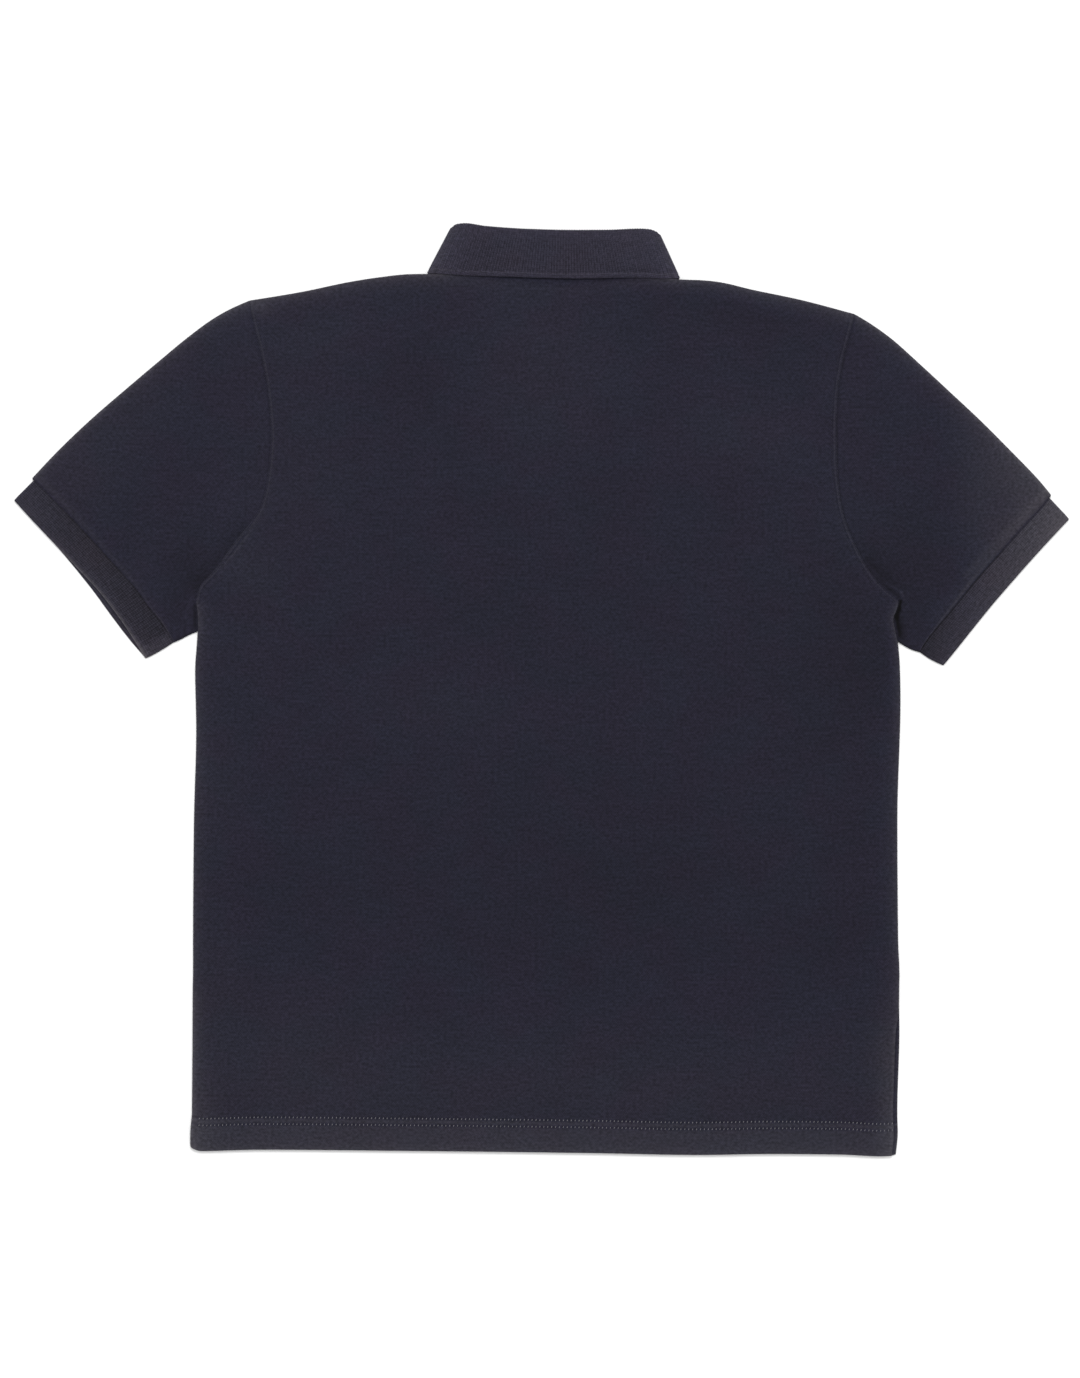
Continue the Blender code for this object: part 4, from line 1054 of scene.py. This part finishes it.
def placket_strip(name, half, low, high):
    """Flat strip with rounded sides from the slit's end to the neckline."""
    x = np.concatenate([FROM_END, [2.0, 4.5]]) - half
    x = np.concatenate([x, -x[::-1]])
    start, top = NECK["slot_end"] + SEAM_GAP, front_neckline(NECK["x"] + x) - SEAM_GAP
    long = PLACKET["long"]
    share = np.concatenate([FROM_END / long, np.linspace(3, long - 4, 40) / long,
                            1 - FROM_END[::-1] / long])[:, None]
    thick = (high - low) / 2
    h = thick * rounded(np.minimum(half - np.abs(x), np.minimum(share, 1 - share) * long), thick)
    nets = [np.dstack([NECK["x"] + x + 0 * h, start + (top - start) * share, (low + high) / 2 + face * h])
            for face in (1, -1)]
    piece = shell(f"{name}_cloth", *nets, navy_pique)
    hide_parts(name)


placket_strip("placket_top", 13.7, PLACKET["face"], 3.5)
placket_strip("placket_under", 12.5, 3.8, 5.0)


# ---------------------------------------------------------------- buttons
# Three flat buttons of navy resin, moulded with four holes and a raised rim. A cross of thread in
# the hollow sews each one to the strip behind the placket.

BUTTONS = ("button_1", "button_2", "button_3")


def shaded(name, shader_inputs, scale, dark, light):
    """Material whose colour changes between two shades by a fine noise; the noise comes with it."""
    finish, tree = new_finish(name, shader_inputs)
    where = add_node(tree, "TexCoord", {}, "Object")
    cloud = add_node(tree, "TexNoise", {"Vector": where, "Scale": scale}, "Fac")
    shades = tree.nodes.new("ShaderNodeValToRGB")
    for element, (position, color) in zip(shades.color_ramp.elements, (dark, light)):
        element.position, element.color = position, (*color, 1.0)
    feed(tree, shades, {"Fac": cloud})
    feed(tree, tree.nodes["Principled BSDF"], {"Base Color": shades.outputs["Color"]})
    return finish, cloud


navy_resin = shaded("navy_resin", {"Roughness": 0.28, "Coat Weight": 0.3}, 700.0,
                    (0.0, (0.012, 0.013, 0.022)), (1.0, (0.030, 0.032, 0.048)))[0]
for node in BUTTONS:
    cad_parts[node].data.materials[0] = navy_resin


# ---------------------------------------------------------------- sewing
# Navy polyester thread. The hem has two rows of slanted stitches, paler than the cloth. Finer rows
# of the cloth's own colour run beside the armholes and the vents and down the placket, and close
# stitches edge the buttonholes.

def thread_finish(name, dark, light):
    """Twisted thread: its ply changes between two shades."""
    finish, ply = shaded(name, {"Roughness": 0.7, "Specular IOR Level": 0.2}, 1500.0,
                         (0.35, dark), (0.65, light))
    tree = finish.node_tree
    twist = add_node(tree, "Bump", {"Strength": 0.5, "Distance": 0.0001, "Height": ply}, "Normal")
    feed(tree, tree.nodes["Principled BSDF"], {"Normal": twist})
    return finish


hem_thread = thread_finish("hem_thread", (0.080, 0.077, 0.086), (0.140, 0.135, 0.148))
seam_thread = thread_finish("seam_thread", (0.0150, 0.0148, 0.0240), (0.0240, 0.0235, 0.0345))
HEM_STITCH = {"pitch": 3.13, "long": 3.0, "radius": 0.44, "lean": 1.28, "sizes": [0.86, 1.0]}
SEAM_STITCH = {"pitch": 2.6, "long": 2.0, "radius": 0.30, "lean": 0.0}
SIDE_STITCH = dict(SEAM_STITCH, sizes=[1.0, 0.6, 1.0, 1.0, 0.6, 1.0])
# One stitch: shares of its length, its radius and its dip into the cloth
STITCH_FORM = table("along size dip", (-0.5, 0.30, 0.55), (-0.38, 0.80, 0.18), (-0.12, 1.0, 0.0),
                    (0.12, 1.0, 0.0), (0.38, 0.80, 0.18), (0.5, 0.30, 0.55))


def stitches(name, lines, kind, finish, up=1):
    """Rows of stitches along lines of points: each a short six-sided thread that dips at its ends.

    up is +1 on an upper face and -1 on a lower one. A kind's sizes give each line its own size.
    """
    centres, ways, sizes = [], [], []
    for line, grown in zip(lines, kind.get("sizes", [1.0] * len(lines))):
        reach = lengths(line)
        at = np.arange(kind["pitch"] / 2, reach[-1], kind["pitch"])
        spot, ahead, behind = (np.stack([np.interp(at + shift, reach, line[:, k]) for k in range(3)], -1)
                               for shift in (0.0, 0.5, -0.5))
        centres.append(spot)
        ways.append(unit(ahead - behind))
        sizes.append(np.full((len(spot), 1, 1, 1), grown))
    centre, way, grown = np.concatenate(centres), np.concatenate(ways), np.concatenate(sizes)
    c, s = math.cos(kind["lean"]), math.sin(kind["lean"])
    way = np.stack([way[:, 0] * c - way[:, 1] * s, way[:, 0] * s + way[:, 1] * c, way[:, 2]], axis=-1)
    side = unit(np.cross([0.0, 0.0, up], way))
    rise = np.cross(way, side)
    turn = np.linspace(0, 2 * math.pi, 7)[:-1]
    size = kind["radius"] * STITCH_FORM["size"][:, None]
    along = (STITCH_FORM["along"] * kind["long"])[:, None] + 0 * turn
    across = size * np.cos(turn)
    high = size * np.sin(turn) * 0.6 - (STITCH_FORM["dip"] * kind["radius"])[:, None]
    points = (along[None, ..., None] * way[:, None, None] + across[None, ..., None] * side[:, None, None]
              + high[None, ..., None] * rise[:, None, None]) * grown + centre[:, None, None]
    sections, sides = along.shape
    first = (np.arange(len(centre)) * sections * sides)[:, None]
    faces = (tube_quads(sections, sides).reshape(1, -1, 4) + first[..., None]).reshape(-1, 4).tolist()
    faces += (np.arange(sides)[::-1] + first).tolist()
    faces += (np.arange(sides) + (sections - 1) * sides + first).tolist()
    new_piece(name, points.reshape(-1, 3), faces, finish)


LEAST_UP = 0.26  # least height of a thread's middle over the ground


def on_panel(line, is_front):
    """Points of a plan line laid on the outer face of a body panel."""
    x, y = line.T
    under = np.maximum(lift(x, y) + sunk(x, y), LEAST_UP)
    z = under if is_front else back_middle(x, y) + cloth_at(x, y) / 2 - sunk(x, y)
    return np.column_stack([line, z])


HEM_ENDS = (-275, 281)
ROW_TOPS = {"left": 306, "right": 296}  # upper ends of the rows beside the armholes
VENT_ROW_END = -337  # lower end of the rows beside the vents
hem_x = np.linspace(*HEM_ENDS, 400)
hem_plan = [pairs(hem_x, read(HEM_LINE, hem_x) + up) for up in HEM_ROWS]
seam_plan = []
for side, top in ROW_TOPS.items():
    arm = arm_line(side, UNDERARM + 1, top, 240)
    seam_plan += [sideways(arm, OUTWARD[side] * inset) for inset in ARM_ROWS]
    seam_plan.append(arm_line(side, VENT["top"] + 1, VENT_ROW_END, 60) - (OUTWARD[side] * VENT["row"], 0))
for is_front, up, slot in ((False, 1, "navy_pique_back"), (True, -1, "navy_pique_front")):
    where = "front" if is_front else "back"
    stitches(f"hem_stitches_{where}", [on_panel(line, is_front) for line in hem_plan],
             HEM_STITCH, hem_thread, up)
    stitches(f"seam_stitches_{where}", [on_panel(line, is_front) for line in seam_plan],
             SIDE_STITCH, seam_thread, up)


def on_placket(*spots):
    """Line over spots of the placket's lower face, given by their way off its middle and their height."""
    return np.array([(NECK["x"] + x, y, PLACKET["face"]) for x, y in spots])


# The placket's rows: a box at its end, then one row up each side
beside, box_start, box_end, row_end = 11.4, 120.5, 128.0, 259.0
box = [(-beside, box_start), (beside, box_start), (beside, box_end), (-beside, box_end)]
lines = [on_placket(*pair) for pair in zip(box, box[1:] + box[:1])]
lines += [on_placket((x, box_end), (x, row_end)) for x in (-beside, beside)]
stitches("placket_stitches", lines, SEAM_STITCH, seam_thread, -1)
BUTTON_STITCH = {"pitch": 3.9, "long": 3.9, "radius": 0.32, "lean": 0.0}
HOLE_STITCH = {"pitch": 0.7, "long": 1.3, "radius": 0.30, "lean": QUARTER}
CROSS = 1.4  # half the width of a button's cross of thread
HOLLOW = 0.5  # depth of a button's hollow, where the cross lies
HOLE = {"beside": 0.9, "half": 7.7}  # rows of a buttonhole: off its line, and half their length
crosses, holes = [], []
for node in BUTTONS:
    low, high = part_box(node)
    x, y, z = (low[0] + high[0]) / 2 / MM, (low[1] + high[1]) / 2 / MM, low[2] / MM + HOLLOW
    crosses += [np.array([(x - CROSS, y - way * CROSS, z), (x + CROSS, y + way * CROSS, z)])
                for way in (-1, 1)]
    holes += [np.array([(x + way * HOLE["beside"], y + end * HOLE["half"], PLACKET["face"])
                        for end in (-1, 1)]) for way in (-1, 1)]
stitches("button_stitches", crosses, BUTTON_STITCH, seam_thread, -1)
stitches("buttonhole_stitches", holes, HOLE_STITCH, seam_thread, -1)


# ---------------------------------------------------------------- floor, light and camera
# A pale floor under even light from all round and one square lamp, seen from straight above. The
# camera's frame has its stated height at about half the shirt's thickness.

bpy.ops.mesh.primitive_plane_add(size=30, location=(0, 0, -0.0004))
floor = bpy.context.object
floor.name = "floor"
paper = new_finish("pale_floor", {"Base Color": (0.93, 0.93, 0.93, 1), "Roughness": 0.95,
                                  "Specular IOR Level": 0.1})[0]
floor.data.materials.append(paper)

world = bpy.data.worlds.new("soft_room")
bpy.context.scene.world = world
world.use_nodes = True
feed(world.node_tree, world.node_tree.nodes["Background"], {"Color": (1, 1, 1, 1), "Strength": 0.90})

# One square light of a metre, high over the collar's end and turned to the middle of the shirt
KEY_AT = (0.1, 1.1, 2.7)
key_data = bpy.data.lights.new("key", "AREA")
key_data.shape = "SQUARE"
key_data.size = 1.0
key_data.energy = 45
key = put("key", key_data)
key.location = KEY_AT
key.rotation_euler = (math.atan2(math.hypot(*KEY_AT[:2]), KEY_AT[2]), 0,
                      math.atan2(-KEY_AT[0], KEY_AT[1]) + math.pi)

CAMERA_HEIGHT = 3.2
HALF_THICK = 0.003  # height at which the frame has its size
SEEN_HEIGHT = 1.1014  # height of the frame there
camera_data = bpy.data.cameras.new("camera")
camera = put("camera", camera_data)
camera.location = (-0.0011, 0.0005, CAMERA_HEIGHT)
camera_data.sensor_fit = "VERTICAL"
camera_data.sensor_height = 24.0
camera_data.lens = camera_data.sensor_height * (CAMERA_HEIGHT - HALF_THICK) / SEEN_HEIGHT
camera_data.clip_end = 60.0
bpy.context.scene.camera = camera
bpy.context.scene.view_settings.view_transform = "Standard"
